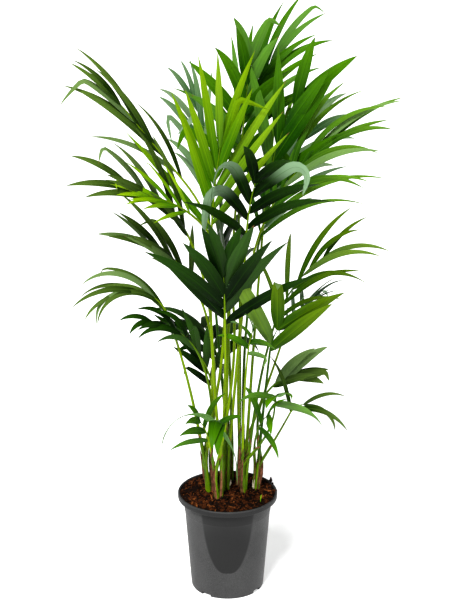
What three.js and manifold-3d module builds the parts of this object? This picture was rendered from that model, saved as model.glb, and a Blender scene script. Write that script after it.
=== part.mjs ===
// Potted kentia palm: a plastic nursery pot, its soil, a clump of eight sheathed stems,
// and the arching stalks and feather fronds that grow from them.
// Millimetres, +Z up, +X to the viewer's right, +Y away from the viewer.
// The origin is the middle of the pot's flat underside.
import * as THREE from "three";
import Module from "manifold-3d";

const wasm = await Module();
wasm.setup();

// Pot
const POT_HEIGHT = 215;
const RIM_RADIUS = 105;
const RIM_DEPTH = 12;
const RIM_WALL = 4.6;
const SHELF_DEPTH = 2.5; // thickness of the shelf between the body and the rim
const BODY_TOP_RADIUS = 93.5;
const FOOT_RADIUS = 77;
const POT_WALL = 2;
const POT_FLOOR = 10;
const STEP_BELOW_RIM = 40;
const STEP_OUT = 0.8;
const POT_SIDES = 32;
const NOTCH_WIDTH = 22;
const NOTCH_HEIGHT = 7;
const NOTCH_DEPTH = 8;
const NOTCH_TURN = -126; // degrees from +X to the first foot notch
const NOTCH_COUNT = 4;

// Soil
const SOIL_TOP = 218;
const SOIL_FLAT_RADIUS = 76;
const SOIL_EDGE_DROP = 4;
const SOIL_SIDES = 24;

// Growth
const GAP = 0.3;
const STEM_SIDES = 8;
const STALK_SIDES = 5;
const STALK_STEPS = 4;
const STALK_FOOT_RADIUS = 3.4;
const STALK_NECK_RADIUS = 2.3;
const SMALL_SHARE = 0.8; // how thick a small frond's stalk is beside the others
const BLADE_THICKNESS = 3; // of a leaflet at its middle
const RIB_NECK_RADIUS = 2.1;
const RIB_TIP_RADIUS = 1.3;
const RIB_SIDES = 4;
const RIB_STEPS = 6;
const SMALL_STEPS = 7;
const LEAFLET_STEPS = 8;
const MIDDLE_STEP = 4;
const LEAFLET_FILL = 0.9; // width of a leaflet's blade here as a share of the real one
const LEAFLET_INSET = 0.8; // how far a leaflet's blade starts inside the midrib
const GRAVITY_CURVE = 1.5; // how late along its length a leaflet starts to hang
const STAGGER = 0.22; // how far, in pairs, the leaflets of a pair are moved apart along the midrib
const FIRST_PAIR = 0.35; // where the first pair sits, in pairs from the neck
const PAIRS_SHORT = 0.4; // how far, in pairs, the last pair is drawn in to the tip
const CLOSING_CURVE = 0.8; // how early along the midrib the leaflets close up
const LEAST_SPREAD = 3; // degrees between a leaflet and the midrib
const SHORTEST = 0.72; // length of the outermost leaflets as a share of the longest
const FULLEST_EARLY = 0.8; // how early along the midrib the longest leaflets sit
const FULLEST_START = 0.25; // how far along its swell in length a frond starts
const DROOP_VARIES = 0.35; // share by which a leaflet's droop may be off
const MOST_BEND = 0.97; // share of the way to straight down that a leaflet may bend
const STRAIGHT_FOOT = 1.6; // how much a stalk leaves its seat towards the neck, not along the midrib
const SPREAD_VARIES = 7; // degrees that a leaflet's angle to the midrib may be off
const LIFT_VARIES = 10; // degrees that its lift may be off
const LENGTH_VARIES = 0.15; // share by which its length may be off

// Which way the upper face of a frond looks
const FRONT = [0, -1, 0.25];
const LEFT_FRONT = [0.25, -0.75, 0.6];
const RIGHT_FRONT = [-0.25, -0.8, 0.5];
const SKY_FRONT = [0, -0.6, 0.8];
const SKY_BACK = [0, 0.5, 0.85];
const SIDE_LEFT = [-0.85, -0.2, 0.5];
const SIDE_RIGHT = [0.85, -0.2, 0.5];

// Stems: foot on the soil, top of the sheaths above it, and radius at the foot and the top
const STEMS = {
  a: { foot: [-36, -6], lean: [-6, -1], height: 84, radii: [8.5, 12.5] },
  b: { foot: [-18, -36], lean: [-1, -3], height: 66, radii: [8.5, 12.5] },
  c: { foot: [-4, 2], lean: [0, 1], height: 92, radii: [8.5, 12] },
  e: { foot: [20, 26], lean: [2, 2], height: 90, radii: [8, 11] },
  g: { foot: [32, -10], lean: [3, -2], height: 76, radii: [8.5, 12] },
  i: { foot: [60, 8], lean: [4, 0], height: 62, radii: [8, 11.5] },
  k: { foot: [4, 46], lean: [-2, 3], height: 86, radii: [8, 11.5] },
  m: { foot: [30, 58], lean: [2, 3], height: 80, radii: [7.5, 11] },
};

const TONES = {
  bright: 0x8cba10,
  mid: 0x3f8a12,
  dark: 0x15450c,
  olive: 0x4f6b1a,
  pale: 0x6f9a68,
};
const POT_GREY = 0x555555;
const SOIL_BROWN = 0x3a2015;
const SHEATH_GREEN = 0x7a7a35;
const STALK_GREEN = 0x6f9a14;

// Fronds, the outermost of the crown first, because each one is cut clear of those before it.
// seat: bearing in degrees of the stalk's seat on top of its stem
// neck, tip: where the leaflets begin and where the midrib ends
// rise: how far the midrib arches up, as a share of its length
// open, close: leaflet angle from the midrib at the neck and at the tip, in degrees
// lift, droop: leaflet angle out of the frond's plane, and bend towards the ground, in degrees
const FRONDS = [
  { name: "low_front", stem: "b", seat: 318, neck: [-15, -80, 392], tip: [-17, -106, 416], rise: 0.1,
    pairs: 2, leaflet: 165, width: 32, open: 75, close: 1, lift: 0, droop: 105, face: SKY_FRONT,
    tone: "mid", seed: 28, small: true },
  { name: "low_left", stem: "b", seat: 190, neck: [-38, -55, 350], tip: [-54, -75, 402], rise: 0.1,
    pairs: 3, leaflet: 95, width: 17, open: 60, close: 25, lift: 10, droop: 60, face: SKY_FRONT,
    tone: "mid", seed: 20, small: true },
  { name: "low_right", stem: "i", seat: 215, neck: [62, -50, 375], tip: [78, -75, 415], rise: 0.1,
    pairs: 2, leaflet: 100, width: 22, open: 70, close: 38, lift: 10, droop: 60, face: SKY_FRONT,
    tone: "mid", seed: 21, small: true },
  { name: "low_center", stem: "g", seat: 305, neck: [95, -80, 438], tip: [98, -100, 468], rise: 0.2,
    pairs: 2, leaflet: 100, width: 28, open: 80, close: 22, lift: 10, droop: 80, face: SKY_FRONT,
    tone: "mid", seed: 19, small: true },
  { name: "right_low_2", stem: "i", seat: 335, neck: [128, -30, 403], tip: [156, -30, 424], rise: 0.25,
    pairs: 2, leaflet: 142, width: 12, open: 44, close: 20, lift: 10, droop: 72, face: SKY_FRONT,
    tone: "dark", seed: 18, small: true },
  { name: "small_center", stem: "g", seat: 245, neck: [40, -60, 540], tip: [50, -90, 605], rise: 0.1,
    pairs: 3, leaflet: 80, width: 18, open: 60, close: 20, lift: 10, droop: 60, face: SKY_FRONT,
    tone: "mid", seed: 13, small: true },
  { name: "top_right", stem: "e", seat: 60, neck: [20, 80, 900], tip: [85, 110, 1100], rise: 0.2,
    pairs: 6, leaflet: 225, width: 17, open: 28, close: 5, lift: 6, droop: 45, face: RIGHT_FRONT,
    tone: "mid", seed: 31 },
  { name: "top", stem: "c", seat: 90, neck: [22, 40, 890], tip: [42, 50, 1106], rise: 0.0,
    pairs: 6, leaflet: 165, width: 24, open: 62, close: 7, lift: 6, droop: 24, face: FRONT,
    tone: "mid", seed: 1 },
  { name: "left_high", stem: "a", seat: 151, neck: [-86, -20, 890], tip: [-205, -40, 1045], rise: 0.0,
    pairs: 5, leaflet: 205, width: 13, open: 12, close: 5, lift: 4, droop: 26, face: LEFT_FRONT,
    tone: "olive", seed: 3 },
  { name: "right_high", stem: "e", seat: 300, neck: [60, 0, 765], tip: [180, -25, 955], rise: 0.15,
    pairs: 8, leaflet: 275, width: 13, open: 35, close: 8, lift: 10, droop: 46, face: RIGHT_FRONT,
    tone: "mid", seed: 9 },
  { name: "right_top", stem: "g", seat: 65, neck: [75, 20, 830], tip: [128, -10, 1035], rise: 0.1,
    pairs: 4, leaflet: 232, width: 30, open: 36, close: 14, lift: 5, droop: 10, face: RIGHT_FRONT,
    tone: "mid", seed: 10 },
  { name: "spear", stem: "b", seat: 45, neck: [-32, -42, 790], tip: [-15, -50, 962], rise: 0.03,
    pairs: 6, leaflet: 250, width: 18, open: 34, close: 4, lift: 2, droop: 6, face: FRONT,
    tone: "bright", seed: 2 },
  { name: "left_mid_high", stem: "a", seat: 259, neck: [-75, -45, 780], tip: [-182, -100, 895], rise: 0.2,
    pairs: 5, leaflet: 205, width: 16, open: 20, close: 10, lift: 12, droop: 24, face: LEFT_FRONT,
    tone: "dark", seed: 4 },
  { name: "left_low_1", stem: "a", seat: 206, neck: [-121, -50, 626], tip: [-180, -68, 678], rise: 0.3,
    pairs: 4, leaflet: 180, width: 12, open: 12, close: 5, lift: 0, droop: 100, face: SKY_FRONT,
    tone: "olive", seed: 14 },
  { name: "right_mid", stem: "g", seat: 5, neck: [96, -6, 590], tip: [190, -30, 738], rise: 0.15,
    pairs: 5, leaflet: 212, width: 12, open: 32, close: 8, lift: 10, droop: 44, face: RIGHT_FRONT,
    tone: "mid", seed: 11 },
  { name: "yellow_front", stem: "i", seat: 275, neck: [84, -78, 553], tip: [98, -88, 605], rise: 0.1,
    pairs: 2, leaflet: 205, width: 33, open: 38, close: 20, lift: 5, droop: 8, face: FRONT,
    tone: "mid", seed: 33 },
  { name: "center_high", stem: "c", seat: 330, neck: [36, -75, 790], tip: [52, -100, 905], rise: 0.08,
    pairs: 4, leaflet: 185, width: 25, open: 48, close: 24, lift: 8, droop: 36, face: FRONT,
    tone: "dark", seed: 8 },
  { name: "left_mid", stem: "a", seat: 45, neck: [-65, 12, 660], tip: [-155, -20, 765], rise: 0.15,
    pairs: 5, leaflet: 175, width: 16, open: 30, close: 10, lift: 10, droop: 22, face: SKY_FRONT,
    tone: "dark", seed: 6 },
  { name: "left_bright", stem: "b", seat: 240, neck: [-70, -82, 838], tip: [-150, -130, 888], rise: 0.1,
    pairs: 5, leaflet: 120, width: 10, open: 36, close: 8, lift: 4, droop: 15, face: LEFT_FRONT,
    tone: "bright", seed: 5 },
  { name: "center_dark", stem: "c", seat: 222, neck: [-5, -80, 612], tip: [-8, -116, 722], rise: 0.08,
    pairs: 5, leaflet: 205, width: 29, open: 50, close: 8, lift: 5, droop: 16, face: FRONT,
    tone: "dark", seed: 7 },
  { name: "left_low_2", stem: "a", seat: 334, neck: [-54, -56, 532], tip: [-146, -90, 622], rise: 0.25,
    pairs: 4, leaflet: 112, width: 14, open: 16, close: 8, lift: 10, droop: 70, face: SKY_FRONT,
    tone: "dark", seed: 15 },
  { name: "left_low_3", stem: "c", seat: 150, neck: [-32, 30, 438], tip: [-92, 45, 545], rise: 0.2,
    pairs: 5, leaflet: 108, width: 17, open: 30, close: 10, lift: 10, droop: 18, face: SKY_FRONT,
    tone: "dark", seed: 16 },
  { name: "right_low_1", stem: "i", seat: 30, neck: [92, 25, 440], tip: [134, 30, 462], rise: 0.15,
    pairs: 3, leaflet: 112, width: 22, open: 24, close: 10, lift: 5, droop: 28, face: RIGHT_FRONT,
    tone: "dark", seed: 17 },
  { name: "back_left", stem: "k", seat: 270, neck: [-40, 110, 815], tip: [-62, 210, 985], rise: 0.15,
    pairs: 6, leaflet: 215, width: 20, open: 40, close: 10, lift: 10, droop: 30, face: SIDE_LEFT,
    tone: "pale", seed: 22 },
  { name: "back_right", stem: "m", seat: 75, neck: [70, 120, 745], tip: [160, 230, 920], rise: 0.15,
    pairs: 6, leaflet: 220, width: 20, open: 40, close: 10, lift: 10, droop: 40, face: SIDE_RIGHT,
    tone: "pale", seed: 23 },
  { name: "back_mid", stem: "k", seat: 345, neck: [0, 120, 585], tip: [-15, 240, 715], rise: 0.2,
    pairs: 6, leaflet: 200, width: 18, open: 50, close: 12, lift: 10, droop: 45, face: SIDE_RIGHT,
    tone: "dark", seed: 24 },
  { name: "back_low_left", stem: "k", seat: 75, neck: [-12, 92, 440], tip: [-50, 205, 510], rise: 0.25,
    pairs: 5, leaflet: 175, width: 24, open: 62, close: 18, lift: 10, droop: 80, face: SKY_BACK,
    tone: "dark", seed: 25 },
  { name: "back_low_right", stem: "m", seat: 15, neck: [110, 100, 495], tip: [190, 210, 575], rise: 0.25,
    pairs: 5, leaflet: 160, width: 12, open: 40, close: 12, lift: 10, droop: 55, face: SKY_BACK,
    tone: "olive", seed: 26 },
];

const UP = new THREE.Vector3(0, 0, 1);
const DOWN = new THREE.Vector3(0, 0, -1);
const radians = THREE.MathUtils.degToRad;
const lerp = THREE.MathUtils.lerp;
const vec = (list) => new THREE.Vector3(...list);
const polar = (radius, degrees) =>
  new THREE.Vector3(radius * Math.cos(radians(degrees)), radius * Math.sin(radians(degrees)), 0);

// A number from -1 to 1 that is always the same for the same frond, leaflet and use.
function vary(seed, leaflet, use) {
  const wave = Math.sin(seed * 12.9898 + leaflet * 78.233 + use * 37.719) * 43758.5453;
  return 2 * (wave - Math.floor(wave)) - 1;
}

// A closed solid from a three.js geometry.
function solidOf(geometry) {
  const position = geometry.getAttribute("position");
  const keys = new Map();
  const points = [];
  const weld = [];
  for (let i = 0; i < position.count; i++) {
    const p = [position.getX(i), position.getY(i), position.getZ(i)];
    const key = p.map((v) => Math.round(v * 1e4)).join();
    if (!keys.has(key)) {
      keys.set(key, points.length / 3);
      points.push(...p);
    }
    weld.push(keys.get(key));
  }
  const index = geometry.index ? Array.from(geometry.index.array) : weld.map((_, i) => i);
  const faces = [];
  for (let i = 0; i < index.length; i += 3) {
    const [a, b, c] = index.slice(i, i + 3).map((k) => weld[k]);
    if (a !== b && b !== c && a !== c) faces.push(a, b, c);
  }
  return new wasm.Manifold(
    new wasm.Mesh({
      numProp: 3,
      vertProperties: new Float32Array(points),
      triVerts: new Uint32Array(faces),
    }),
  );
}

function geometryOf(solid) {
  const mesh = solid.getMesh();
  const geometry = new THREE.BufferGeometry();
  geometry.setAttribute("position", new THREE.BufferAttribute(mesh.vertProperties, 3));
  geometry.setIndex(new THREE.BufferAttribute(mesh.triVerts, 1));
  geometry.computeVertexNormals();
  return geometry;
}

const volumeOf = (solid) => solid.volume();
const largest = (solid) =>
  solid.decompose().reduce((a, b) => (volumeOf(b) > volumeOf(a) ? b : a));

// Skin over a row of rings with equal numbers of points, closed at both ends.
// A ring runs anticlockwise as seen from further along the row.
function loft(rings) {
  const sides = rings[0].length;
  const points = rings.flat().flatMap((p) => [p.x, p.y, p.z]);
  const faces = [];
  for (let r = 0; r + 1 < rings.length; r++) {
    for (let s = 0; s < sides; s++) {
      const a = r * sides + s;
      const b = r * sides + ((s + 1) % sides);
      faces.push(a, b, b + sides, a, b + sides, a + sides);
    }
  }
  const last = (rings.length - 1) * sides;
  for (let s = 1; s + 1 < sides; s++) {
    faces.push(0, s + 1, s, last, last + s, last + s + 1);
  }
  const geometry = new THREE.BufferGeometry();
  geometry.setAttribute("position", new THREE.Float32BufferAttribute(points, 3));
  geometry.setIndex(faces);
  return geometry;
}

// A round limb that follows a curve and tapers from one radius to another.
// Its first rings, as many as are asked for, are level, so it stands flat on what is below it.
function limb(curve, radii, sides, steps, grow = 0, levelRings = 1) {
  const rings = [];
  for (let i = 0; i <= steps; i++) {
    const t = i / steps;
    const centre = curve.getPoint(t);
    const along = i < levelRings ? UP : curve.getTangent(t);
    if (i === 0) centre.addScaledVector(along, -grow);
    if (i === steps) centre.addScaledVector(along, grow);
    const side = new THREE.Vector3(1, 0, 0).cross(along).normalize();
    const other = along.clone().cross(side);
    const radius = lerp(radii[0], radii[1], t) + grow;
    const ring = [];
    for (let s = 0; s < sides; s++) {
      const turn = (2 * Math.PI * s) / sides;
      ring.push(
        centre
          .clone()
          .addScaledVector(side, radius * Math.cos(turn))
          .addScaledVector(other, radius * Math.sin(turn)),
      );
    }
    rings.push(ring);
  }
  return solidOf(loft(rings));
}

// A smooth curve between two points that leaves and arrives along the given directions.
function bend(from, to, leaving, arriving) {
  const third = from.distanceTo(to) / 3;
  return new THREE.CubicBezierCurve3(
    from,
    from.clone().addScaledVector(leaving, third),
    to.clone().addScaledVector(arriving, -third),
    to,
  );
}

// Top of a stem's sheaths, where its stalks come out.
function stemTop(stem) {
  return new THREE.Vector3(
    stem.foot[0] + stem.lean[0],
    stem.foot[1] + stem.lean[1],
    SOIL_TOP + GAP + stem.height,
  );
}

// The curves of a frond: its bare stalk, and the midrib that carries the leaflets.
function curvesOf(frond) {
  const stem = STEMS[frond.stem];
  const seatRadius = stem.radii[1] - STALK_FOOT_RADIUS - 0.2;
  const foot = stemTop(stem).add(polar(seatRadius, frond.seat)).addScaledVector(UP, GAP);
  const neck = vec(frond.neck);
  const tip = vec(frond.tip);
  const chord = tip.clone().sub(neck).normalize();
  const upward = UP.clone().addScaledVector(chord, -chord.z).normalize();
  const atNeck = chord.clone().addScaledVector(upward, 2 * frond.rise).normalize();
  const atTip = chord.clone().addScaledVector(upward, -2 * frond.rise).normalize();
  const straight = neck.clone().sub(foot).normalize();
  const atFoot = straight.clone().multiplyScalar(STRAIGHT_FOOT);
  atFoot.addScaledVector(atNeck, 1 - STRAIGHT_FOOT).normalize();
  return { stalk: bend(foot, neck, atFoot, atNeck), rib: bend(neck, tip, atNeck, atTip) };
}

// The corners of one leaflet: its base on the midrib, its middle and its tip on the way that it
// droops, and its sideways direction at the middle.
function leafletCorners(frond, rib, pair, hand) {
  const number = 2 * pair + (hand > 0 ? 1 : 0);
  const stagger = (frond.seed % 2 ? -STAGGER : STAGGER) * hand;
  const last = pair === frond.pairs - 1;
  const along = last ? 1 : Math.min(1, (pair + FIRST_PAIR + stagger) / (frond.pairs - PAIRS_SHORT));
  const forward = rib.getTangent(along);
  const side = forward.clone().cross(vec(frond.face)).normalize();
  const normal = side.clone().cross(forward);

  const opening = lerp(frond.open, frond.close, along ** CLOSING_CURVE);
  const spread = opening + SPREAD_VARIES * vary(frond.seed, number, 1);
  const angle = radians(Math.max(LEAST_SPREAD, spread));
  const lift = radians(frond.lift + LIFT_VARIES * vary(frond.seed, number, 2));
  const heading = forward
    .clone()
    .multiplyScalar(Math.cos(angle))
    .addScaledVector(side, hand * Math.sin(angle))
    .multiplyScalar(Math.cos(lift))
    .addScaledVector(normal, Math.sin(lift))
    .normalize();
  const swell = Math.sin(Math.PI * Math.min(1, along * FULLEST_EARLY + FULLEST_START));
  const fullness = SHORTEST + (1 - SHORTEST) * swell;
  const length = frond.leaflet * fullness * (1 + LENGTH_VARIES * vary(frond.seed, number, 3));
  const droop = radians(frond.droop * (1 + DROOP_VARIES * vary(frond.seed, number, 5)));
  const hinge = heading.clone().cross(DOWN).normalize();
  const mostBend = MOST_BEND * heading.angleTo(DOWN);
  const bendAt = (t) => Math.min(mostBend, droop * t ** GRAVITY_CURVE);

  const base = rib.getPoint(along);
  const centre = base.clone();
  let middle = null;
  for (let step = 1; step <= LEAFLET_STEPS; step++) {
    const heads = heading.clone().applyAxisAngle(hinge, bendAt((step - 0.5) / LEAFLET_STEPS));
    centre.addScaledVector(heads, length / LEAFLET_STEPS);
    if (step === MIDDLE_STEP) middle = centre.clone();
  }
  const across = heading.cross(normal).applyAxisAngle(hinge, bendAt(MIDDLE_STEP / LEAFLET_STEPS));
  return { base, middle, tip: centre, across: across.normalize() };
}

// One leaflet as a thin blade: pointed at both ends, widest and thickest at its middle.
function leafletBlade(frond, { base, middle, tip, across }, grow) {
  const along = tip.clone().sub(base).normalize();
  const normal = across.clone().cross(along).normalize();
  const sideways = across.clone().multiplyScalar((LEAFLET_FILL * frond.width) / 2 + grow);
  const upwards = normal.multiplyScalar(BLADE_THICKNESS / 2 + grow);
  const start = base.clone().addScaledVector(along, -LEAFLET_INSET - grow);
  const end = tip.clone().addScaledVector(along, 2 * grow);
  const ring = [
    middle.clone().add(sideways),
    middle.clone().sub(upwards),
    middle.clone().sub(sideways),
    middle.clone().add(upwards),
  ];
  return solidOf(loft([ring.map(() => start), ring, ring.map(() => end)]));
}

// The whole frond: its midrib with the leaflets joined to it and, on a small one, its own stalk.
function blade(frond, grow = 0) {
  const { stalk, rib } = curvesOf(frond);
  const path = new THREE.CurvePath();
  if (frond.small) path.add(stalk);
  path.add(rib);
  const foot = frond.small ? SMALL_SHARE * STALK_FOOT_RADIUS : RIB_NECK_RADIUS;
  const steps = frond.small ? SMALL_STEPS : RIB_STEPS;
  const parts = [limb(path, [foot, RIB_TIP_RADIUS], RIB_SIDES, steps, grow, frond.small ? 1 : 0)];
  for (let pair = 0; pair < frond.pairs; pair++) {
    for (const hand of [-1, 1]) {
      parts.push(leafletBlade(frond, leafletCorners(frond, rib, pair, hand), grow));
    }
  }
  return wasm.Manifold.union(parts);
}

function stalkSolid(frond, grow = 0) {
  const radii = [STALK_FOOT_RADIUS, STALK_NECK_RADIUS];
  return limb(curvesOf(frond).stalk, radii, STALK_SIDES, STALK_STEPS, grow);
}

function stemSolid(stem, grow = 0) {
  const foot = new THREE.Vector3(stem.foot[0], stem.foot[1], SOIL_TOP + GAP);
  return limb(new THREE.LineCurve3(foot, stemTop(stem)), stem.radii, STEM_SIDES, 2, grow, 3);
}

// The pot: a tapered wall under a rolled rim, a thick floor and notches in the foot.
function potSolid() {
  const rimUnder = POT_HEIGHT - RIM_DEPTH;
  const stepHeight = POT_HEIGHT - STEP_BELOW_RIM;
  const wallAt = (z) => lerp(FOOT_RADIUS, BODY_TOP_RADIUS, z / rimUnder);
  const outline = [
    [0, 0],
    [FOOT_RADIUS - 2, 0],
    [FOOT_RADIUS, 2],
    [wallAt(stepHeight) - STEP_OUT, stepHeight],
    [wallAt(stepHeight), stepHeight + 1],
    [BODY_TOP_RADIUS, rimUnder],
    [RIM_RADIUS - 1.5, rimUnder],
    [RIM_RADIUS, rimUnder + 2],
    [RIM_RADIUS - 0.6, POT_HEIGHT - 3],
    [RIM_RADIUS - 2.2, POT_HEIGHT],
    [RIM_RADIUS - RIM_WALL + 1, POT_HEIGHT],
    [RIM_RADIUS - RIM_WALL, POT_HEIGHT - 1.5],
    [RIM_RADIUS - RIM_WALL - 0.5, rimUnder + SHELF_DEPTH],
    [BODY_TOP_RADIUS - POT_WALL, rimUnder + SHELF_DEPTH],
    [BODY_TOP_RADIUS - POT_WALL, rimUnder - 4],
    [FOOT_RADIUS - POT_WALL, POT_FLOOR],
    [0, POT_FLOOR],
  ];
  let solid = solidOf(turned(outline, POT_SIDES));
  for (let i = 0; i < NOTCH_COUNT; i++) {
    const degrees = NOTCH_TURN + (360 / NOTCH_COUNT) * i;
    const cutter = new THREE.BoxGeometry(2 * NOTCH_DEPTH, NOTCH_WIDTH, 2 * NOTCH_HEIGHT);
    cutter.rotateZ(radians(degrees));
    const place = polar(FOOT_RADIUS, degrees);
    cutter.translate(place.x, place.y, 0);
    solid = solid.subtract(solidOf(cutter));
  }
  return solid;
}

// An outline of [radius, height] points turned about the upright axis.
function turned(outline, sides) {
  const points = outline.map(([radius, height]) => new THREE.Vector2(radius, height));
  return new THREE.LatheGeometry(points, sides).rotateX(Math.PI / 2);
}

// The soil fills the pot up to the rim, flat where the stems stand and a little lower at the edge.
function soilSolid() {
  const shelf = POT_HEIGHT - RIM_DEPTH + SHELF_DEPTH + GAP;
  const clear = 0.9;
  const body = BODY_TOP_RADIUS - POT_WALL - clear;
  const rim = RIM_RADIUS - RIM_WALL - clear;
  const outline = [
    [0, POT_FLOOR + GAP],
    [FOOT_RADIUS - POT_WALL - clear, POT_FLOOR + GAP],
    [body, POT_HEIGHT - RIM_DEPTH - 4],
    [body, shelf],
    [rim - 0.5, shelf],
    [rim - 0.3, SOIL_TOP - SOIL_EDGE_DROP - 1.5],
    [rim - 4, SOIL_TOP - SOIL_EDGE_DROP],
    [SOIL_FLAT_RADIUS, SOIL_TOP],
    [0, SOIL_TOP],
  ];
  return solidOf(turned(outline, SOIL_SIDES));
}

const plant = new THREE.Group();
plant.name = "potted_kentia_palm";

function addMesh(name, solid, color, roughness) {
  const material = new THREE.MeshStandardMaterial({ color, roughness, metalness: 0 });
  const mesh = new THREE.Mesh(geometryOf(solid), material);
  mesh.name = name;
  plant.add(mesh);
}

addMesh("pot", potSolid(), POT_GREY, 0.55);
addMesh("soil", soilSolid(), SOIL_BROWN, 0.95);

// What is in place: each piece as it is, and the union of all of them swollen by the gap.
const placed = [];
let swollenSum = null;
function place(name, solid, swollen, color, roughness) {
  addMesh(name, solid, color, roughness);
  placed.push(solid);
  swollenSum = swollenSum ? swollenSum.add(swollen) : swollen;
}

// Cuts a piece clear of all that is in place, and keeps the largest part of what is left.
function clearOfPlaced(solid) {
  let rest = largest(solid.subtract(swollenSum));
  for (const other of placed) {
    if (!rest.intersect(other).isEmpty()) rest = largest(rest.subtract(other));
  }
  return rest;
}

for (const [key, stem] of Object.entries(STEMS)) {
  place("stem_" + key, stemSolid(stem), stemSolid(stem, GAP), SHEATH_GREEN, 0.7);
}
for (const frond of FRONDS.filter((f) => !f.small)) {
  place("stalk_" + frond.name, stalkSolid(frond), stalkSolid(frond, GAP), STALK_GREEN, 0.45);
}
for (const frond of FRONDS) {
  place("frond_" + frond.name, clearOfPlaced(blade(frond)), blade(frond, GAP), TONES[frond.tone], 0.45);
}

export default plant;
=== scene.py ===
from collections import namedtuple

import bpy
import numpy as np
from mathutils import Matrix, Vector
from bpy.props import FloatProperty, FloatVectorProperty, IntProperty, PointerProperty


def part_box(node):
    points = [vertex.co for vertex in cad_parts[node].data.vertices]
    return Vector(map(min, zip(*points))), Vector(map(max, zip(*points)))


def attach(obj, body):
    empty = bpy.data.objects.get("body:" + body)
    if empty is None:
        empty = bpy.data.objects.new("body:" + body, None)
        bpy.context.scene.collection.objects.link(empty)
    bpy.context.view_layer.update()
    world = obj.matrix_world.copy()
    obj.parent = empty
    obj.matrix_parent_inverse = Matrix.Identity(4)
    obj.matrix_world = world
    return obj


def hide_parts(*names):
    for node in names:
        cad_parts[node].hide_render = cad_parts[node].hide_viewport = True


bl_info = {
    "name": "Potted kentia palm",
    "version": (1, 0, 0),
    "blender": (4, 5, 0),
    "location": "3D View > Sidebar > Palm",
    "description": "Builds a potted kentia palm round its packed frame",
    "category": "Add Mesh",
}

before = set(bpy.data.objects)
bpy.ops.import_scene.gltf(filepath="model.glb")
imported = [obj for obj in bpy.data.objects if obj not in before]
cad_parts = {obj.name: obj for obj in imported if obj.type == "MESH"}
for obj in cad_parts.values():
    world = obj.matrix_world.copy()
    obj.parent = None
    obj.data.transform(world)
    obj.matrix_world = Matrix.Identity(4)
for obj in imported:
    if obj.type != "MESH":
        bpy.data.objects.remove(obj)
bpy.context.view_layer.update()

MM = 0.001
UP = np.array([0.0, 0.0, 1.0])
ACROSS = np.array([1.0, 0.0, 0.0])
FORWARD = np.array([0.0, -1.0, 0.0])

POT_LOW, POT_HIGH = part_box("pot")
POT_HEIGHT = POT_HIGH.z
RIM_RADIUS = (POT_HIGH.x - POT_LOW.x) / 2
SOIL_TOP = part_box("soil")[1].z

# Stalks, in millimetres as in the frame
GAP = 0.3
SEAT_CLEAR = 0.2
STALK_FOOT_RADIUS = 3.4
STALK_NECK_RADIUS = 2.3
SMALL_SHARE = 0.8
STRAIGHT_FOOT = 1.6  # how much a stalk leaves its seat towards the neck, not along the midrib

# Course of a leaflet, in degrees and shares as in the frame
STAGGER = 0.22  # how far, in pairs, the leaflets of a pair are moved apart along the midrib
FIRST_PAIR = 0.35  # where the first pair sits, in pairs from the neck
PAIRS_SHORT = 0.4  # how far, in pairs, the last pair is drawn in to the tip
CLOSING_CURVE = 0.8  # how early along the midrib the leaflets close up
LEAST_SPREAD = 3  # least angle to the midrib
SHORTEST = 0.72  # length of the outermost leaflets as a share of the longest
FULLEST_EARLY = 0.8  # how early along the midrib the longest leaflets sit
FULLEST_START = 0.25  # how far along its swell in length a frond starts
GRAVITY_CURVE = 1.5  # power by which the droop grows along a leaflet
MOST_BEND = 0.97  # share of the way to straight down that it may droop
SPREAD_VARIES = 7
LIFT_VARIES = 10
LENGTH_VARIES = 0.15
DROOP_VARIES = 0.35
FOLD_PLACE, FOLD_PLACE_VARIES = 0.7, 0.12  # share of the length at which a tip folds over
FOLD_BEND, FOLD_BEND_VARIES = 95, 30
FOLD_SPREAD = 0.12  # share of the length that a fold takes up
ARCH_BEND = 120
ARCH_SPREAD = 0.35

# Blade of a leaflet
WIDTH_ENDS, WIDTH_SWELL, WIDTH_REACH = 0.8, 0.25, 0.9  # leaflet width along the midrib
BLADE_SWELL = 1.18  # brings the widest place to the full width
BLADE_TAPER = 0.85  # power by which the blade narrows to its tip
BLADE_FOOT, BLADE_TIP = 0.01, 0.004  # keep both ends from closing to nothing
TWIST, TWIST_VARIES, TWIST_CURVE = 8, 30, 1.3
KEEL_FOOT, KEEL_TIP, KEEL_LENGTH = 0.55, 0.12, 0.35
KEEL_VARIES, KEEL_CURVE = 0.4, 1.4
RIPPLE, RIPPLE_WAVES, RIPPLE_SHIFT = 0.10, 9, 3
THINNER_EDGE, THINNER_TIP = 0.6, 0.7

# What scrambles a seed, a number and a use in vary, and what each use is for
VARY_TURNS, VARY_SCALE = (12.9898, 78.233, 37.719), 43758.5453
(DRAW_SPREAD, DRAW_LIFT, DRAW_LENGTH, DRAW_TWIST, DRAW_DROOP, DRAW_KEEL, DRAW_FOLD, DRAW_FOLD_PLACE,
 DRAW_FOLD_BEND, DRAW_TINT, DRAW_COVER, DRAW_SHEATH, DRAW_STRIP, DRAW_SCRAP, DRAW_TALL, DRAW_TORN,
 DRAW_FLARE, DRAW_SHADE) = range(1, 19)

# Which way the upper face of a frond looks
FRONT = (0, -1, 0.25)
LEFT_FRONT = (0.25, -0.75, 0.6)
RIGHT_FRONT = (-0.25, -0.8, 0.5)
SKY_FRONT = (0, -0.6, 0.8)
SKY_BACK = (0, 0.5, 0.85)
SIDE_LEFT = (-0.85, -0.2, 0.5)
SIDE_RIGHT = (0.85, -0.2, 0.5)

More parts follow.
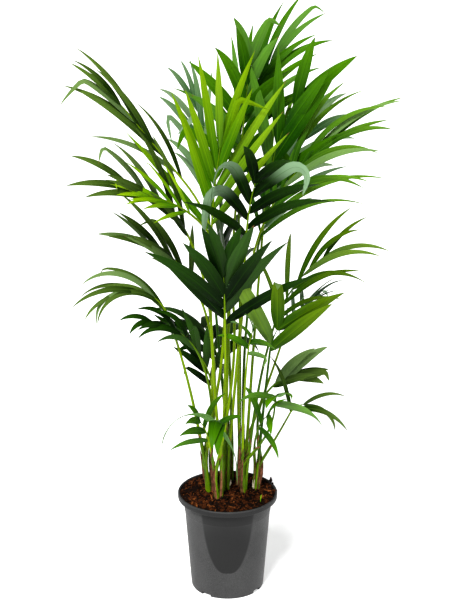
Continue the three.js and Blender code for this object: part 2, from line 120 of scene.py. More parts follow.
# Stems: foot on the soil, lean of the top, height above the soil, radius of the top, and how light their
# stalks are, as painted shade that leaves the stalks further back in the crown darker
Stem = namedtuple("Stem", "foot lean height radius shade")
STEMS = {
    "a": Stem((-36, -6), (-6, -1), 84, 12.5, 0.6),
    "b": Stem((-18, -36), (-1, -3), 66, 12.5, 1.0),
    "c": Stem((-4, 2), (0, 1), 92, 12, 0.75),
    "e": Stem((20, 26), (2, 2), 90, 11, 0.35),
    "g": Stem((32, -10), (3, -2), 76, 12, 0.5),
    "i": Stem((60, 8), (4, 0), 62, 11.5, 0.3),
    "k": Stem((4, 46), (-2, 3), 86, 11.5, 0.25),
    "m": Stem((30, 58), (2, 3), 80, 11, 0.2),
}
SHADE_VARIES = 0.4  # how far single stalks differ from that

# Fronds: stem, bearing of the seat, neck, tip and rise of the midrib, pairs of leaflets, their length
# and width, their angles at the neck and the tip, lift, droop, upper face, tone, seed, and whether
# the frond is a small one, whose node holds its stalk too
Frond = namedtuple("Frond", "name stem seat neck tip rise pairs leaflet width open close lift droop "
                            "face tone seed small", defaults=(False,))
FRONDS = [Frond(*row) for row in (
    ("low_front", "b", 318, (-15, -80, 392), (-17, -106, 416), 0.1, 2, 165, 32,
     75, 1, 0, 105, SKY_FRONT, "mid", 28, True),
    ("low_left", "b", 190, (-38, -55, 350), (-54, -75, 402), 0.1, 3, 95, 17,
     60, 25, 10, 60, SKY_FRONT, "mid", 20, True),
    ("low_right", "i", 215, (62, -50, 375), (78, -75, 415), 0.1, 2, 100, 22,
     70, 38, 10, 60, SKY_FRONT, "mid", 21, True),
    ("low_center", "g", 305, (95, -80, 438), (98, -100, 468), 0.2, 2, 100, 28,
     80, 22, 10, 80, SKY_FRONT, "mid", 19, True),
    ("right_low_2", "i", 335, (128, -30, 403), (156, -30, 424), 0.25, 2, 142, 12,
     44, 20, 10, 72, SKY_FRONT, "dark", 18, True),
    ("small_center", "g", 245, (40, -60, 540), (50, -90, 605), 0.1, 3, 80, 18,
     60, 20, 10, 60, SKY_FRONT, "mid", 13, True),
    ("top_right", "e", 60, (20, 80, 900), (85, 110, 1100), 0.2, 6, 225, 17,
     28, 5, 6, 45, RIGHT_FRONT, "mid", 31),
    ("top", "c", 90, (22, 40, 890), (42, 50, 1106), 0.0, 6, 165, 24,
     62, 7, 6, 24, FRONT, "mid", 1),
    ("left_high", "a", 151, (-86, -20, 890), (-205, -40, 1045), 0.0, 5, 205, 13,
     12, 5, 4, 26, LEFT_FRONT, "olive", 3),
    ("right_high", "e", 300, (60, 0, 765), (180, -25, 955), 0.15, 8, 275, 13,
     35, 8, 10, 46, RIGHT_FRONT, "mid", 9),
    ("right_top", "g", 65, (75, 20, 830), (128, -10, 1035), 0.1, 4, 232, 30,
     36, 14, 5, 10, RIGHT_FRONT, "mid", 10),
    ("spear", "b", 45, (-32, -42, 790), (-15, -50, 962), 0.03, 6, 250, 18,
     34, 4, 2, 6, FRONT, "bright", 2),
    ("left_mid_high", "a", 259, (-75, -45, 780), (-182, -100, 895), 0.2, 5, 205, 16,
     20, 10, 12, 24, LEFT_FRONT, "dark", 4),
    ("left_low_1", "a", 206, (-121, -50, 626), (-180, -68, 678), 0.3, 4, 180, 12,
     12, 5, 0, 100, SKY_FRONT, "olive", 14),
    ("right_mid", "g", 5, (96, -6, 590), (190, -30, 738), 0.15, 5, 212, 12,
     32, 8, 10, 44, RIGHT_FRONT, "mid", 11),
    ("yellow_front", "i", 275, (84, -78, 553), (98, -88, 605), 0.1, 2, 205, 33,
     38, 20, 5, 8, FRONT, "mid", 33),
    ("center_high", "c", 330, (36, -75, 790), (52, -100, 905), 0.08, 4, 185, 25,
     48, 24, 8, 36, FRONT, "dark", 8),
    ("left_mid", "a", 45, (-65, 12, 660), (-155, -20, 765), 0.15, 5, 175, 16,
     30, 10, 10, 22, SKY_FRONT, "dark", 6),
    ("left_bright", "b", 240, (-70, -82, 838), (-150, -130, 888), 0.1, 5, 120, 10,
     36, 8, 4, 15, LEFT_FRONT, "bright", 5),
    ("center_dark", "c", 222, (-5, -80, 612), (-8, -116, 722), 0.08, 5, 205, 29,
     50, 8, 5, 16, FRONT, "dark", 7),
    ("left_low_2", "a", 334, (-54, -56, 532), (-146, -90, 622), 0.25, 4, 112, 14,
     16, 8, 10, 70, SKY_FRONT, "dark", 15),
    ("left_low_3", "c", 150, (-32, 30, 438), (-92, 45, 545), 0.2, 5, 108, 17,
     30, 10, 10, 18, SKY_FRONT, "dark", 16),
    ("right_low_1", "i", 30, (92, 25, 440), (134, 30, 462), 0.15, 3, 112, 22,
     24, 10, 5, 28, RIGHT_FRONT, "dark", 17),
    ("back_left", "k", 270, (-40, 110, 815), (-62, 210, 985), 0.15, 6, 215, 20,
     40, 10, 10, 30, SIDE_LEFT, "pale", 22),
    ("back_right", "m", 75, (70, 120, 745), (160, 230, 920), 0.15, 6, 220, 20,
     40, 10, 10, 40, SIDE_RIGHT, "pale", 23),
    ("back_mid", "k", 345, (0, 120, 585), (-15, 240, 715), 0.2, 6, 200, 18,
     50, 12, 10, 45, SIDE_RIGHT, "dark", 24),
    ("back_low_left", "k", 75, (-12, 92, 440), (-50, 205, 510), 0.25, 5, 175, 24,
     62, 18, 10, 80, SKY_BACK, "dark", 25),
    ("back_low_right", "m", 15, (110, 100, 495), (190, 210, 575), 0.25, 5, 160, 12,
     40, 12, 10, 55, SKY_BACK, "olive", 26),
)]

# Leaf tones: colour at the foot of a leaflet, darkened there as painted shade, and at its tip, how much
# painted grey sheen its paler leaflets carry, and how far its underside goes to grey green
TONES = {
    "bright": ((0.085, 0.24, 0.001), (0.31, 0.52, 0.002), 0.05, 0.35),
    "lime": ((0.060, 0.185, 0.0005), (0.21, 0.37, 0.001), 0.05, 0.3),
    "moss": ((0.028, 0.085, 0.0005), (0.120, 0.215, 0.002), 0.15, 0.35),
    "fresh": ((0.014, 0.075, 0.0003), (0.080, 0.235, 0.001), 0.15, 0.3),
    "soft": ((0.030, 0.105, 0.004), (0.150, 0.320, 0.020), 0.5, 0.55),
    "mid": ((0.020, 0.085, 0.0005), (0.100, 0.270, 0.001), 0.32, 0.45),
    "dark": ((0.0020, 0.012, 0.0002), (0.018, 0.070, 0.0006), 0.08, 0.2),
    "olive": ((0.012, 0.036, 0.001), (0.115, 0.200, 0.030), 0.35, 0.5),
    "pale": ((0.035, 0.10, 0.028), (0.16, 0.28, 0.12), 0.4, 0.9),
}

# Leaflets that arch over and carry a painted pale sheen past the bend, by frond and number, with the
# share of their length at which they start to bend. A share past 1 leaves a leaflet as it is.
ARCHES = {"center_high": {2: 0.30, 4: 0.36, 5: 0.52}}
UNBENT = 2.0

# Fronds whose leaves differ from the rest of their kind
LOOKS = {"spear": "lime", "yellow_front": "moss", "right_mid": "moss", "top": "fresh",
         "top_right": "fresh", "right_top": "fresh", "low_front": "fresh", "low_left": "fresh",
         "right_high": "soft", "left_mid": "olive", "left_mid_high": "olive",
         "right_low_1": "olive", "right_low_2": "olive", "back_low_right": "pale"}

# Leaf markings: how far the lighter leaflets go to the tip colour, how dark the veins and the painted
# shade in the pleat folds are, and how much they and the midrib show
TINT_SHIFT, VEIN_DARK_AND_PLEAT_SHADE, VEIN_SHARE, PLEAT_SHADE_SHARE, MIDRIB_SHARE = 0.35, 0.55, 0.35, 0.40, 0.35

# Other leaf colours
BLACK = (0, 0, 0)
WHITE = (1, 1, 1)
# painted grey sheen on the lighter leaflets
PAINTED_SHEEN_COLOR = (0.20, 0.30, 0.14)
# painted pale sheen where a leaflet arches over
ARCH_SHEEN_COLOR = (0.22, 0.34, 0.20)
DRY_TIP_COLOR = (0.16, 0.09, 0.035)
UNDERSIDE_COLOR = (0.23, 0.33, 0.21)
UNDERSIDE_VEIN_COLOR = (0.05, 0.12, 0.04)

# Stalks: their lighter and their deeper green, which lie in streaks, each on the most shaded stalk and on
# the most lit; the stalk's tint between them is painted shade
STALK_LIGHT_SHADED_TO_LIT = ((0.035, 0.105, 0.003), (0.28, 0.40, 0.001))
STALK_DEEP_SHADED_TO_LIT = ((0.012, 0.050, 0.002), (0.085, 0.19, 0.001))

# Sheaths: between the ribs and on them
SHEATH_GREEN = ((0.15, 0.27, 0.002), (0.030, 0.085, 0.002))
SHEATH_TAN = ((0.30, 0.13, 0.07), (0.10, 0.035, 0.018))
SHEATH_BLOTCH = (0.10, 0.045, 0.022)
SCRAP_COLOR = (0.60, 0.52, 0.40)

# Potting mix
MIX_DARK = (0.008, 0.004, 0.002)
MIX_CRUMB = (0.062, 0.021, 0.007)
MIX_PATCH = (0.03, 0.012, 0.006)
BARK_GRAIN = (0.004, 0.002, 0.001)

# Pot: powers that round its panel, faces round it, and the slope of a notch's sides, in radians
PANEL_FALL, PANEL_BLUNT = 1.5, 0.4
POT_SIDES = 180
NOTCH_EDGE = 0.002

# Sheaths and the strips of old ones, in metres and shares
SHEATH_IN = 0.72  # how far out a sheath stands at the soil, as a share of how far out its stalk is
SHEATH_OVAL = 1.12  # its width to the side, to its depth
SHEATH_FOOT = 0.008  # how deep it goes into the mix
SHEATH_LEAN = 0.3  # how far it leaves the mix towards its stalk
SHEATH_LOOSE = 0.35 * MM  # how much wider its brim is than its stalk
SHEATH_SLANT = 0.010  # how far its brim slants
SHEATH_SWELL, SWELL_VARIES = 1.1, 0.35
SHEATH_TAPER = 0.8  # power by which it narrows upwards
COVER_VARIES = 0.6
SEAM_TURN = 1.2  # bearing of its dry seam from the high side of its brim, in radians
STRIP_START = 0.006  # where a strip starts along its sheath
STRIP_TALL_VARIES = 0.45
STRIP_OFF, STRIP_THICKNESS = 0.0006, 0.0005
STRIP_FLARE = 0.0022  # how far it stands off at its torn end
STRIP_TORN, TORN_VARIES, TORN_CURVE = 0.45, 0.4, 1.5  # how far its sides end below its middle
STRIP_ROUND, ROUND_VARIES = 0.95, 0.35  # how far round the sheath a strip goes, in radians
STRIP_NARROWS = 0.5
DRY_STRIP, DRY_SCRAP = 0.9, 1.5  # values of the "dry" attribute on a strip and on a torn white scrap

# Surface of the mix: how far it lies under its node's top, the radius where it starts to fall to the
# wall, and its waves: how weak each is, and how many radians it turns in a metre
SOIL_SINK, SOIL_LEVEL, SOIL_FALL, SOIL_ROUGH = 0.0012, 0.066, 1.2, 0.4
SOIL_WAVES = ((1, 90), (1.3, 210), (2, 430), (3, 900))

# Bark chips: where their four rings are and how wide each is, as shares, how far corners are moved,
# and how much chips differ in size
BARK_SEED = 7
CHIP_RINGS, CHIP_WIDTHS = (-0.5, -0.22, 0.2, 0.5), (0.35, 0.95, 1.0, 0.45)
CHIP_ROUGH, CHIP_VARIES = 0.13, 0.38

# Coir: radius and length in metres, and how far a fibre curls and rises, as shares of its length
FIBRE_RADIUS, FIBRE_LENGTH, FIBRE_CURL, FIBRE_RISE = 0.00022, (0.008, 0.02), 0.35, 0.25

# Young shoot: its depth in the mix, its lean, its width at the foot and its fold, as shares
SPROUT_FOOT, SPROUT_LEAN, SPROUT_NARROW, SPROUT_FOLD = 0.003, (0.10, -0.12), 0.45, 0.45

# Bits that fell onto the rim, in degrees and millimetres: bearing, length, width, thickness, lean
SPILLED = ((24, 11, 5.5, 4, 78), (19, 5, 4, 2.5, 10), (28, 4, 3, 2, 20), (-25, 7, 4, 3, 12),
           (-30, 5, 3, 2.4, 5), (-49, 6, 4, 3, 15), (-55, 5, 3.5, 2.6, 8), (-43, 4, 3, 2, 0))

# Stage: where each light points, how many degrees wide it is, the floor's half width in metres and
# the camera's sensor in millimetres
KEY_AIM, KEY_SPREAD = (0.32, 0.85, -1.0), 16
FILL_AIM, FILL_SPREAD = (-0.8, 0.9, -0.35), 60
FLOOR_REACH = 40.0
SENSOR_WIDTH = 36


# Shapes

def unit(vectors):
    """Each vector over its length."""
    return vectors / np.linalg.norm(vectors, axis=-1, keepdims=True)


def turn(vectors, axes, angles):
    """v cos a + (k x v) sin a + k (k.v) (1 - cos a): each v turned about its unit axis k by a."""
    c = np.cos(angles)[..., None]
    s = np.sin(angles)[..., None]
    along = np.sum(axes * vectors, -1, keepdims=True)
    return vectors * c + np.cross(axes, vectors) * s + axes * along * (1 - c)


def vary(seed, number, use):
    """A number from -1 to 1, always the same for a frond, a leaflet and a use: the fraction of a sine."""
    turns = seed * VARY_TURNS[0] + number * VARY_TURNS[1] + use * VARY_TURNS[2]
    wave = np.sin(turns) * VARY_SCALE
    return 2 * (wave - np.floor(wave)) - 1


def smooth(low, high, values):
    """3s^2 - 2s^3, where s goes from 0 at low to 1 at high."""
    s = np.clip((values - low) / (high - low), 0, 1)
    return s * s * (3 - 2 * s)


def lerp(a, b, t):
    """a at t = 0 and b at t = 1."""
    return a + (b - a) * t


def bend(start, end, leaving, arriving):
    """Four control points of a cubic from start to end, its handles a third of the way long."""
    third = np.linalg.norm(end - start) / 3
    return np.stack([start, start + leaving * third, end - arriving * third, end])


def on_curve(controls, t):
    """The cubic's point: its control points weighted by (1-t)^3, 3(1-t)^2 t, 3(1-t)t^2 and t^3."""
    t = np.asarray(t, float)
    weights = np.stack([(1 - t) ** 3, 3 * (1 - t) ** 2 * t, 3 * (1 - t) * t**2, t**3], -1)
    return weights @ controls


def curve_heading(controls, t):
    """The cubic's direction: its control steps weighted by (1-t)^2, 2(1-t)t and t^2."""
    t = np.asarray(t, float)
    weights = np.stack([(1 - t) ** 2, 2 * (1 - t) * t, t**2], -1)
    return unit(weights @ np.diff(controls, axis=0))


def placed(name, data):
    """A new object of this data in the scene."""
    made = bpy.data.objects.new(name, data)
    bpy.context.scene.collection.objects.link(made)
    return made


class Skin:
    """The points, faces and point values of one piece, gathered patch by patch."""

    def __init__(self):
        self.points = []
        self.faces = []
        self.values = {}
        self.count = 0

    def add(self, points, faces, **values):
        """faces is a list of (corners, uv, look): point numbers, a uv for each, and the material."""
        points = np.asarray(points, float).reshape(-1, 3)
        for corners, uv, look in faces:
            self.faces.append((corners + self.count, uv, look))
        for name, value in values.items():
            whole = np.broadcast_to(np.asarray(value, float), (len(points),))
            self.values.setdefault(name, []).append(whole)
        self.points.append(points)
        self.count += len(points)

    def piece(self, name, materials, slot, nodes=(), sharp=50):
        """Makes the mesh object, rides it on the plant and lets it stand for its nodes."""
        mesh = bpy.data.meshes.new(name)
        points = np.concatenate(self.points)
        corners = np.concatenate([c.ravel() for c, _, _ in self.faces])
        sizes = np.concatenate([np.full(len(c), c.shape[1]) for c, _, _ in self.faces])
        looks = np.concatenate([np.full(len(c), look) for c, _, look in self.faces])
        uvs = np.concatenate([uv.reshape(-1, 2) for _, uv, _ in self.faces])
        mesh.vertices.add(len(points))
        mesh.vertices.foreach_set("co", points.ravel())
        mesh.loops.add(len(corners))
        mesh.loops.foreach_set("vertex_index", corners.astype(np.int32))
        mesh.polygons.add(len(sizes))
        starts = np.cumsum(sizes) - sizes
        mesh.polygons.foreach_set("loop_start", starts.astype(np.int32))
        mesh.polygons.foreach_set("material_index", looks.astype(np.int32))
        mesh.uv_layers.new(name="UVMap").data.foreach_set("uv", uvs.ravel())
        for key, parts in self.values.items():
            attribute = mesh.attributes.new(key, "FLOAT", "POINT")
            attribute.data.foreach_set("value", np.concatenate(parts).astype(np.float32))
        mesh.update(calc_edges=True)
        if mesh.validate():
            raise RuntimeError(name + " has faces that are not sound")
        mesh.polygons.foreach_set("use_smooth", np.ones(len(sizes), bool))
        mesh.set_sharp_from_angle(angle=np.radians(sharp))
        for material in materials:
            mesh.materials.append(material)
        made = placed(name, mesh)
        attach(made, "root")
        if nodes:
            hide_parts(*nodes)


def quads(rows, columns, closed=False, flip=False):
    """Quads between rows of points, with u along a row and v up the rows. Closed rows run round."""
    across = columns if closed else columns - 1
    r, c = np.divmod(np.arange((rows - 1) * across), across)
    steps = [(0, 0), (0, 1), (1, 1), (1, 0)][::-1 if flip else 1]
    corners = np.stack([(r + i) * columns + (c + j) % columns for i, j in steps], -1)
    uv = np.stack([np.stack([(c + j) / across, (r + i) / (rows - 1)], -1) for i, j in steps], 1)
    return corners, uv


def ring_faces(rings, sides):
    """Faces of rings of points, closed round and at both ends by one flat face each."""
    first = np.arange(sides)[::-1][None]
    last = (rings - 1) * sides + np.arange(sides)[None]
    return [(*quads(rings, sides, closed=True), 0),
            (first, np.stack([first / sides, 0 * first], -1), 0),
            (last, np.stack([last % sides / sides, 0 * last + 1], -1), 0)]


def repeat_faces(faces, count, stride):
    """The same faces for each of many shapes of stride points."""
    found = []
    for corners, uv, look in faces:
        many = corners[None] + stride * np.arange(count)[:, None, None]
        found.append((many.reshape(-1, corners.shape[1]), np.tile(uv, (count, 1, 1)), look))
    return found


def leaf_faces(count, rows, columns):
    """Faces of closed thin blades: upper grid, lower grid and the edge between them."""
    whole = rows * columns
    left = np.arange(rows - 1) * columns
    right = left + columns - 1
    foot = np.arange(columns - 1)
    tip = (rows - 1) * columns + foot
    edge = np.concatenate([np.stack(corners, -1) for corners in (
        (left, left + columns, left + columns + whole, left + whole),
        (right, right + whole, right + columns + whole, right + columns),
        (foot, foot + whole, foot + 1 + whole, foot + 1),
        (tip, tip + 1, tip + 1 + whole, tip + whole))])
    place = edge % whole
    edge_uv = np.stack([place % columns / (columns - 1), place // columns / (rows - 1)], -1)
    lower, lower_uv = quads(rows, columns, flip=True)
    faces = [(*quads(rows, columns), 0), (lower + whole, lower_uv, 1), (edge, edge_uv, 1)]
    return repeat_faces(faces, count, 2 * whole)


def ring_frames(path):
    """The direction of a path at each point, and two directions across it."""
    heading = unit(np.gradient(path, axis=0))
    side = unit(np.cross(ACROSS, heading))
    return heading, side, np.cross(heading, side)


def tube_points(path, radii, sides, slant=0.0, oval=1.0, start=0.0):
    """centre + r (cos a side + sin a other) + slant cos(a - start) heading, ring by ring."""
    heading, side, other = ring_frames(path)
    a = 2 * np.pi * np.arange(sides) / sides
    ring = side[:, None] * np.cos(a)[:, None] * oval + other[:, None] * np.sin(a)[:, None]
    tilt = np.broadcast_to(slant, (len(path),))[:, None] * np.cos(a - start)
    return path[:, None] + radii[:, None, None] * ring + heading[:, None] * tilt[..., None]


def stem_top(key):
    """Top of a stem's sheaths, where its stalks come out."""
    stem = STEMS[key]
    x, y = np.add(stem.foot, stem.lean)
    return np.array([x, y, SOIL_TOP / MM + GAP + stem.height]) * MM


def frond_curves(frond):
    """The stalk and the midrib as cubics that share their direction at the neck."""
    bearing = np.radians(frond.seat)
    seat = STEMS[frond.stem].radius - STALK_FOOT_RADIUS - SEAT_CLEAR
    offset = np.array([seat * np.cos(bearing), seat * np.sin(bearing), GAP]) * MM
    foot = stem_top(frond.stem) + offset
    neck, tip = np.array(frond.neck) * MM, np.array(frond.tip) * MM
    chord = unit(tip - neck)
    upward = unit(UP - chord * chord[2])
    at_neck = unit(chord + 2 * frond.rise * upward)
    at_tip = unit(chord - 2 * frond.rise * upward)
    at_foot = unit(STRAIGHT_FOOT * unit(neck - foot) + (1 - STRAIGHT_FOOT) * at_neck)
    return bend(foot, neck, at_foot, at_neck), bend(neck, tip, at_neck, at_tip)


# pale marks the leaflets that arch over, whose upper face then carries a painted sheen
Course = namedtuple("Course", "t centre heading normal width number hand pale")


def leaflet_courses(frond, rib, settings):
    """The centre line, heading and upward normal of every leaflet of a frond.

    A leaflet leaves the midrib at an angle in the frond's plane and lifts out of it. Its heading then
    turns towards the ground by droop t^1.5. A few leaflets fold over near the tip or arch over."""
    pairs, seed = frond.pairs, frond.seed
    pair = np.repeat(np.arange(pairs), 2)
    hand = np.tile([-1.0, 1.0], pairs)
    number = 2 * pair + (hand > 0)
    stagger = (-STAGGER if seed % 2 else STAGGER) * hand
    along = np.minimum(1, (pair + FIRST_PAIR + stagger) / (pairs - PAIRS_SHORT))
    along[pair == pairs - 1] = 1
    forward = curve_heading(rib, along)
    side = unit(np.cross(forward, frond.face))
    normal = np.cross(side, forward)
    opening = lerp(frond.open, frond.close, along**CLOSING_CURVE)
    spread = opening + SPREAD_VARIES * vary(seed, number, DRAW_SPREAD)
    angle = np.radians(np.maximum(LEAST_SPREAD, spread))[:, None]
    lift = np.radians(frond.lift + LIFT_VARIES * vary(seed, number, DRAW_LIFT))[:, None]
    heading = forward * np.cos(angle) + side * hand[:, None] * np.sin(angle)
    heading = unit(heading * np.cos(lift) + normal * np.sin(lift))
    swell = np.sin(np.pi * np.minimum(1, along * FULLEST_EARLY + FULLEST_START))
    fullness = SHORTEST + (1 - SHORTEST) * swell
    length = frond.leaflet * MM * fullness * (1 + LENGTH_VARIES * vary(seed, number, DRAW_LENGTH))
    droop = np.radians(frond.droop * (1 + DROOP_VARIES * vary(seed, number, DRAW_DROOP)))
    hinge = unit(np.cross(heading, -UP))
    most = MOST_BEND * np.arccos(np.clip(-heading[:, 2], -1, 1))
    bends = ARCHES.get(frond.name, {})
    arch_at = np.array([bends.get(one, UNBENT) for one in number.tolist()])
    arches = arch_at < 1
    folds = (vary(seed, number, DRAW_FOLD) > settings.fold_rarity) & ~arches
    fold_at = FOLD_PLACE + FOLD_PLACE_VARIES * vary(seed, number, DRAW_FOLD_PLACE)
    fold = folds * np.radians(FOLD_BEND + FOLD_BEND_VARIES * vary(seed, number, DRAW_FOLD_BEND))

    def bent(t):
        hang = np.minimum(most[:, None], droop[:, None] * t**GRAVITY_CURVE)
        arch = np.radians(ARCH_BEND) * smooth(0, ARCH_SPREAD, t - arch_at[:, None])
        return hang + arch + fold[:, None] * smooth(0, FOLD_SPREAD, t - fold_at[:, None])

    def along_leaflet(vectors, t):
        return turn(vectors[:, None], hinge[:, None], bent(t))

    t = np.linspace(0, 1, settings.steps + 1)
    middles = (t[1:] + t[:-1]) / 2
    strides = along_leaflet(heading, middles) * (length / settings.steps)[:, None, None]
    start = on_curve(rib, along)[:, None]
    centre = np.concatenate([start, start + np.cumsum(strides, axis=1)], axis=1)
    width = frond.width * MM * (WIDTH_ENDS + WIDTH_SWELL * np.sin(WIDTH_REACH * np.pi * along))
    return Course(t, centre, along_leaflet(heading, t), along_leaflet(normal, t), width, number, hand,
                  arches)


def leaflet_surfaces(frond, course, settings):
    """Upper and lower surface of every leaflet, as (leaflet, row, column) grids of points.

    Half width is 1.18 w sqrt(t) (1-t)^0.85. Across, the blade is a roof whose sides fall by the keel
    share of the half width, with a slow ripple, and it twists about its own line by twist t^1.3."""
    seed, number, t = frond.seed, course.number, course.t
    c = np.linspace(-1, 1, settings.columns)
    half = BLADE_SWELL * course.width[:, None] * np.sqrt(t + BLADE_FOOT)
    half = half * np.maximum(1 - t, BLADE_TIP) ** BLADE_TAPER
    twist = np.radians(TWIST * course.hand + TWIST_VARIES * vary(seed, number, DRAW_TWIST))
    twist = twist[:, None] * t**TWIST_CURVE
    heading = unit(course.heading)
    side = turn(unit(np.cross(heading, course.normal)), heading, twist)
    normal = np.cross(side, heading)
    keel = lerp(KEEL_FOOT, KEEL_TIP, smooth(0, KEEL_LENGTH, t))
    keel = keel * (1 + KEEL_VARIES * vary(seed, number, DRAW_KEEL))[:, None]
    ripple = RIPPLE * np.sin(RIPPLE_WAVES * t + RIPPLE_SHIFT * number[:, None]) * t
    drop = -keel[..., None] * np.abs(c) ** KEEL_CURVE + ripple[..., None] * np.sign(c) * c**2
    across = side[:, :, None] * (half[..., None] * c)[..., None]
    lifted = normal[:, :, None] * (half[..., None] * drop)[..., None]
    middle = course.centre[:, :, None] + across + lifted
    skin = settings.thickness * (1 - THINNER_EDGE * c**2) * (1 - THINNER_TIP * t[:, None])
    shift = normal[:, :, None] * skin[..., None] / 2
    return middle + shift, middle - shift


# Materials

def rgba(color):
    """A colour with its alpha."""
    return (*color[:3], 1.0)


class Nodes:
    """Adds nodes to a tree. An input is a value, or the output that feeds it."""

    def __init__(self, tree):
        self.tree = tree

    def add(self, kind, inputs=(), **settings):
        node = self.tree.nodes.new("ShaderNode" + kind)
        for key, value in settings.items():
            setattr(node, key, value)
        for key, value in dict(inputs).items():
            if isinstance(value, bpy.types.NodeSocket):
                self.tree.links.new(value, node.inputs[key])
            else:
                node.inputs[key].default_value = value
        return node

    def math(self, operation, a, b=0.0):
        return self.add("Math", {0: a, 1: b}, operation=operation).outputs[0]

    def span(self, value, low, high, to_low=0.0, to_high=1.0):
        """Goes smoothly from to_low where the value is low to to_high where it is high."""
        inputs = {0: value, 1: low, 2: high, 3: to_low, 4: to_high}
        return self.add("MapRange", inputs, interpolation_type="SMOOTHSTEP").outputs[0]

    def mix(self, factor, a, b):
        """Colour a at factor 0 and b at factor 1. A colour without alpha gets one."""
        a, b = (rgba(color) if isinstance(color, tuple) else color for color in (a, b))
        return self.add("Mix", {0: factor, 6: a, 7: b}, data_type="RGBA").outputs[2]

    def times(self, a, b):
        return self.math("MULTIPLY", a, b)

    def attribute(self, name):
        return self.add("Attribute", attribute_name=name).outputs["Fac"]

    def uv(self):
        return self.add("UVMap", uv_map="UVMap").outputs[0]

    def place(self):
        return self.add("TexCoord").outputs["Object"]

    def parts(self, vector):
        return self.add("SeparateXYZ", {0: vector}).outputs

    def fibres(self, count, length):
        inputs = {"UV": self.uv(), "Count": count, "Length": length}
        return self.add("Group", inputs, node_tree=fibre_group()).outputs

    def mottle(self, scale, low, high):
        inputs = {"Vector": self.place(), "Scale": scale, "Low": low, "High": high}
        return self.add("Group", inputs, node_tree=mottle_group()).outputs


def noise_group(name, inputs, build):
    """A shader group with a mask and a height, which its build function makes from its inputs. An
    input without a value of its own is a vector."""
    found = bpy.data.node_groups.get(name)
    if found:
        return found
    tree = bpy.data.node_groups.new(name, "ShaderNodeTree")
    for label, value in inputs.items():
        kind = "NodeSocketVector" if value is None else "NodeSocketFloat"
        socket = tree.interface.new_socket(label, in_out="INPUT", socket_type=kind)
        if value is not None:
            socket.default_value = value
    for label in ("Mask", "Height"):
        tree.interface.new_socket(label, in_out="OUTPUT", socket_type="NodeSocketFloat")
    inside, out = tree.nodes.new("NodeGroupInput"), tree.nodes.new("NodeGroupOutput")
    mask, height = build(Nodes(tree), inside.outputs)
    tree.links.new(mask, out.inputs["Mask"])
    tree.links.new(height, out.inputs["Height"])
    return tree


def fibre_group():
    """Lengthwise fibres: noise that is fine across u and long along v, as a mask and a height."""
    def build(n, given):
        u, v, _ = n.parts(given["UV"])
        place = n.add("CombineXYZ", {0: n.times(u, given["Count"]), 1: n.times(v, given["Length"])})
        noise = n.add("TexNoise", {"Vector": place.outputs[0], "Scale": 1.0, "Detail": 3.0}).outputs[0]
        return n.span(noise, 0.38, 0.62), noise

    return noise_group("Fibres", {"UV": None, "Count": 30.0, "Length": 3.0}, build)


def mottle_group():
    """Blotches: noise in space at a scale, cut between a low and a high value."""
    def build(n, given):
        noise = n.add("TexNoise", {"Vector": given["Vector"], "Scale": given["Scale"], "Detail": 4.0,
                                   "Roughness": 0.6}).outputs[0]
        return n.span(noise, given["Low"], given["High"]), noise

    return noise_group("Mottle", {"Vector": None, "Scale": 100.0, "Low": 0.4, "High": 0.6}, build)


def finish_material(name, paint, roughness=0.5, specular=0.4):
    """A material whose paint function returns its colour and, if it has them, roughness and bump."""
    found = bpy.data.materials.get(name)
    if found:
        return found
    material = bpy.data.materials.new(name)
    material.use_nodes = True
    tree = material.node_tree
    shader = tree.nodes["Principled BSDF"]
    shader.inputs["Roughness"].default_value = roughness
    shader.inputs["Specular IOR Level"].default_value = specular
    n = Nodes(tree)
    looks = paint(n)
    tree.links.new(looks["color"], shader.inputs["Base Color"])
    if "roughness" in looks:
        tree.links.new(looks["roughness"], shader.inputs["Roughness"])
    if "height" in looks:
        bump = n.add("Bump", {"Height": looks["height"], "Distance": looks["relief"], "Strength": 1.0})
        tree.links.new(bump.outputs[0], shader.inputs["Normal"])
    return material


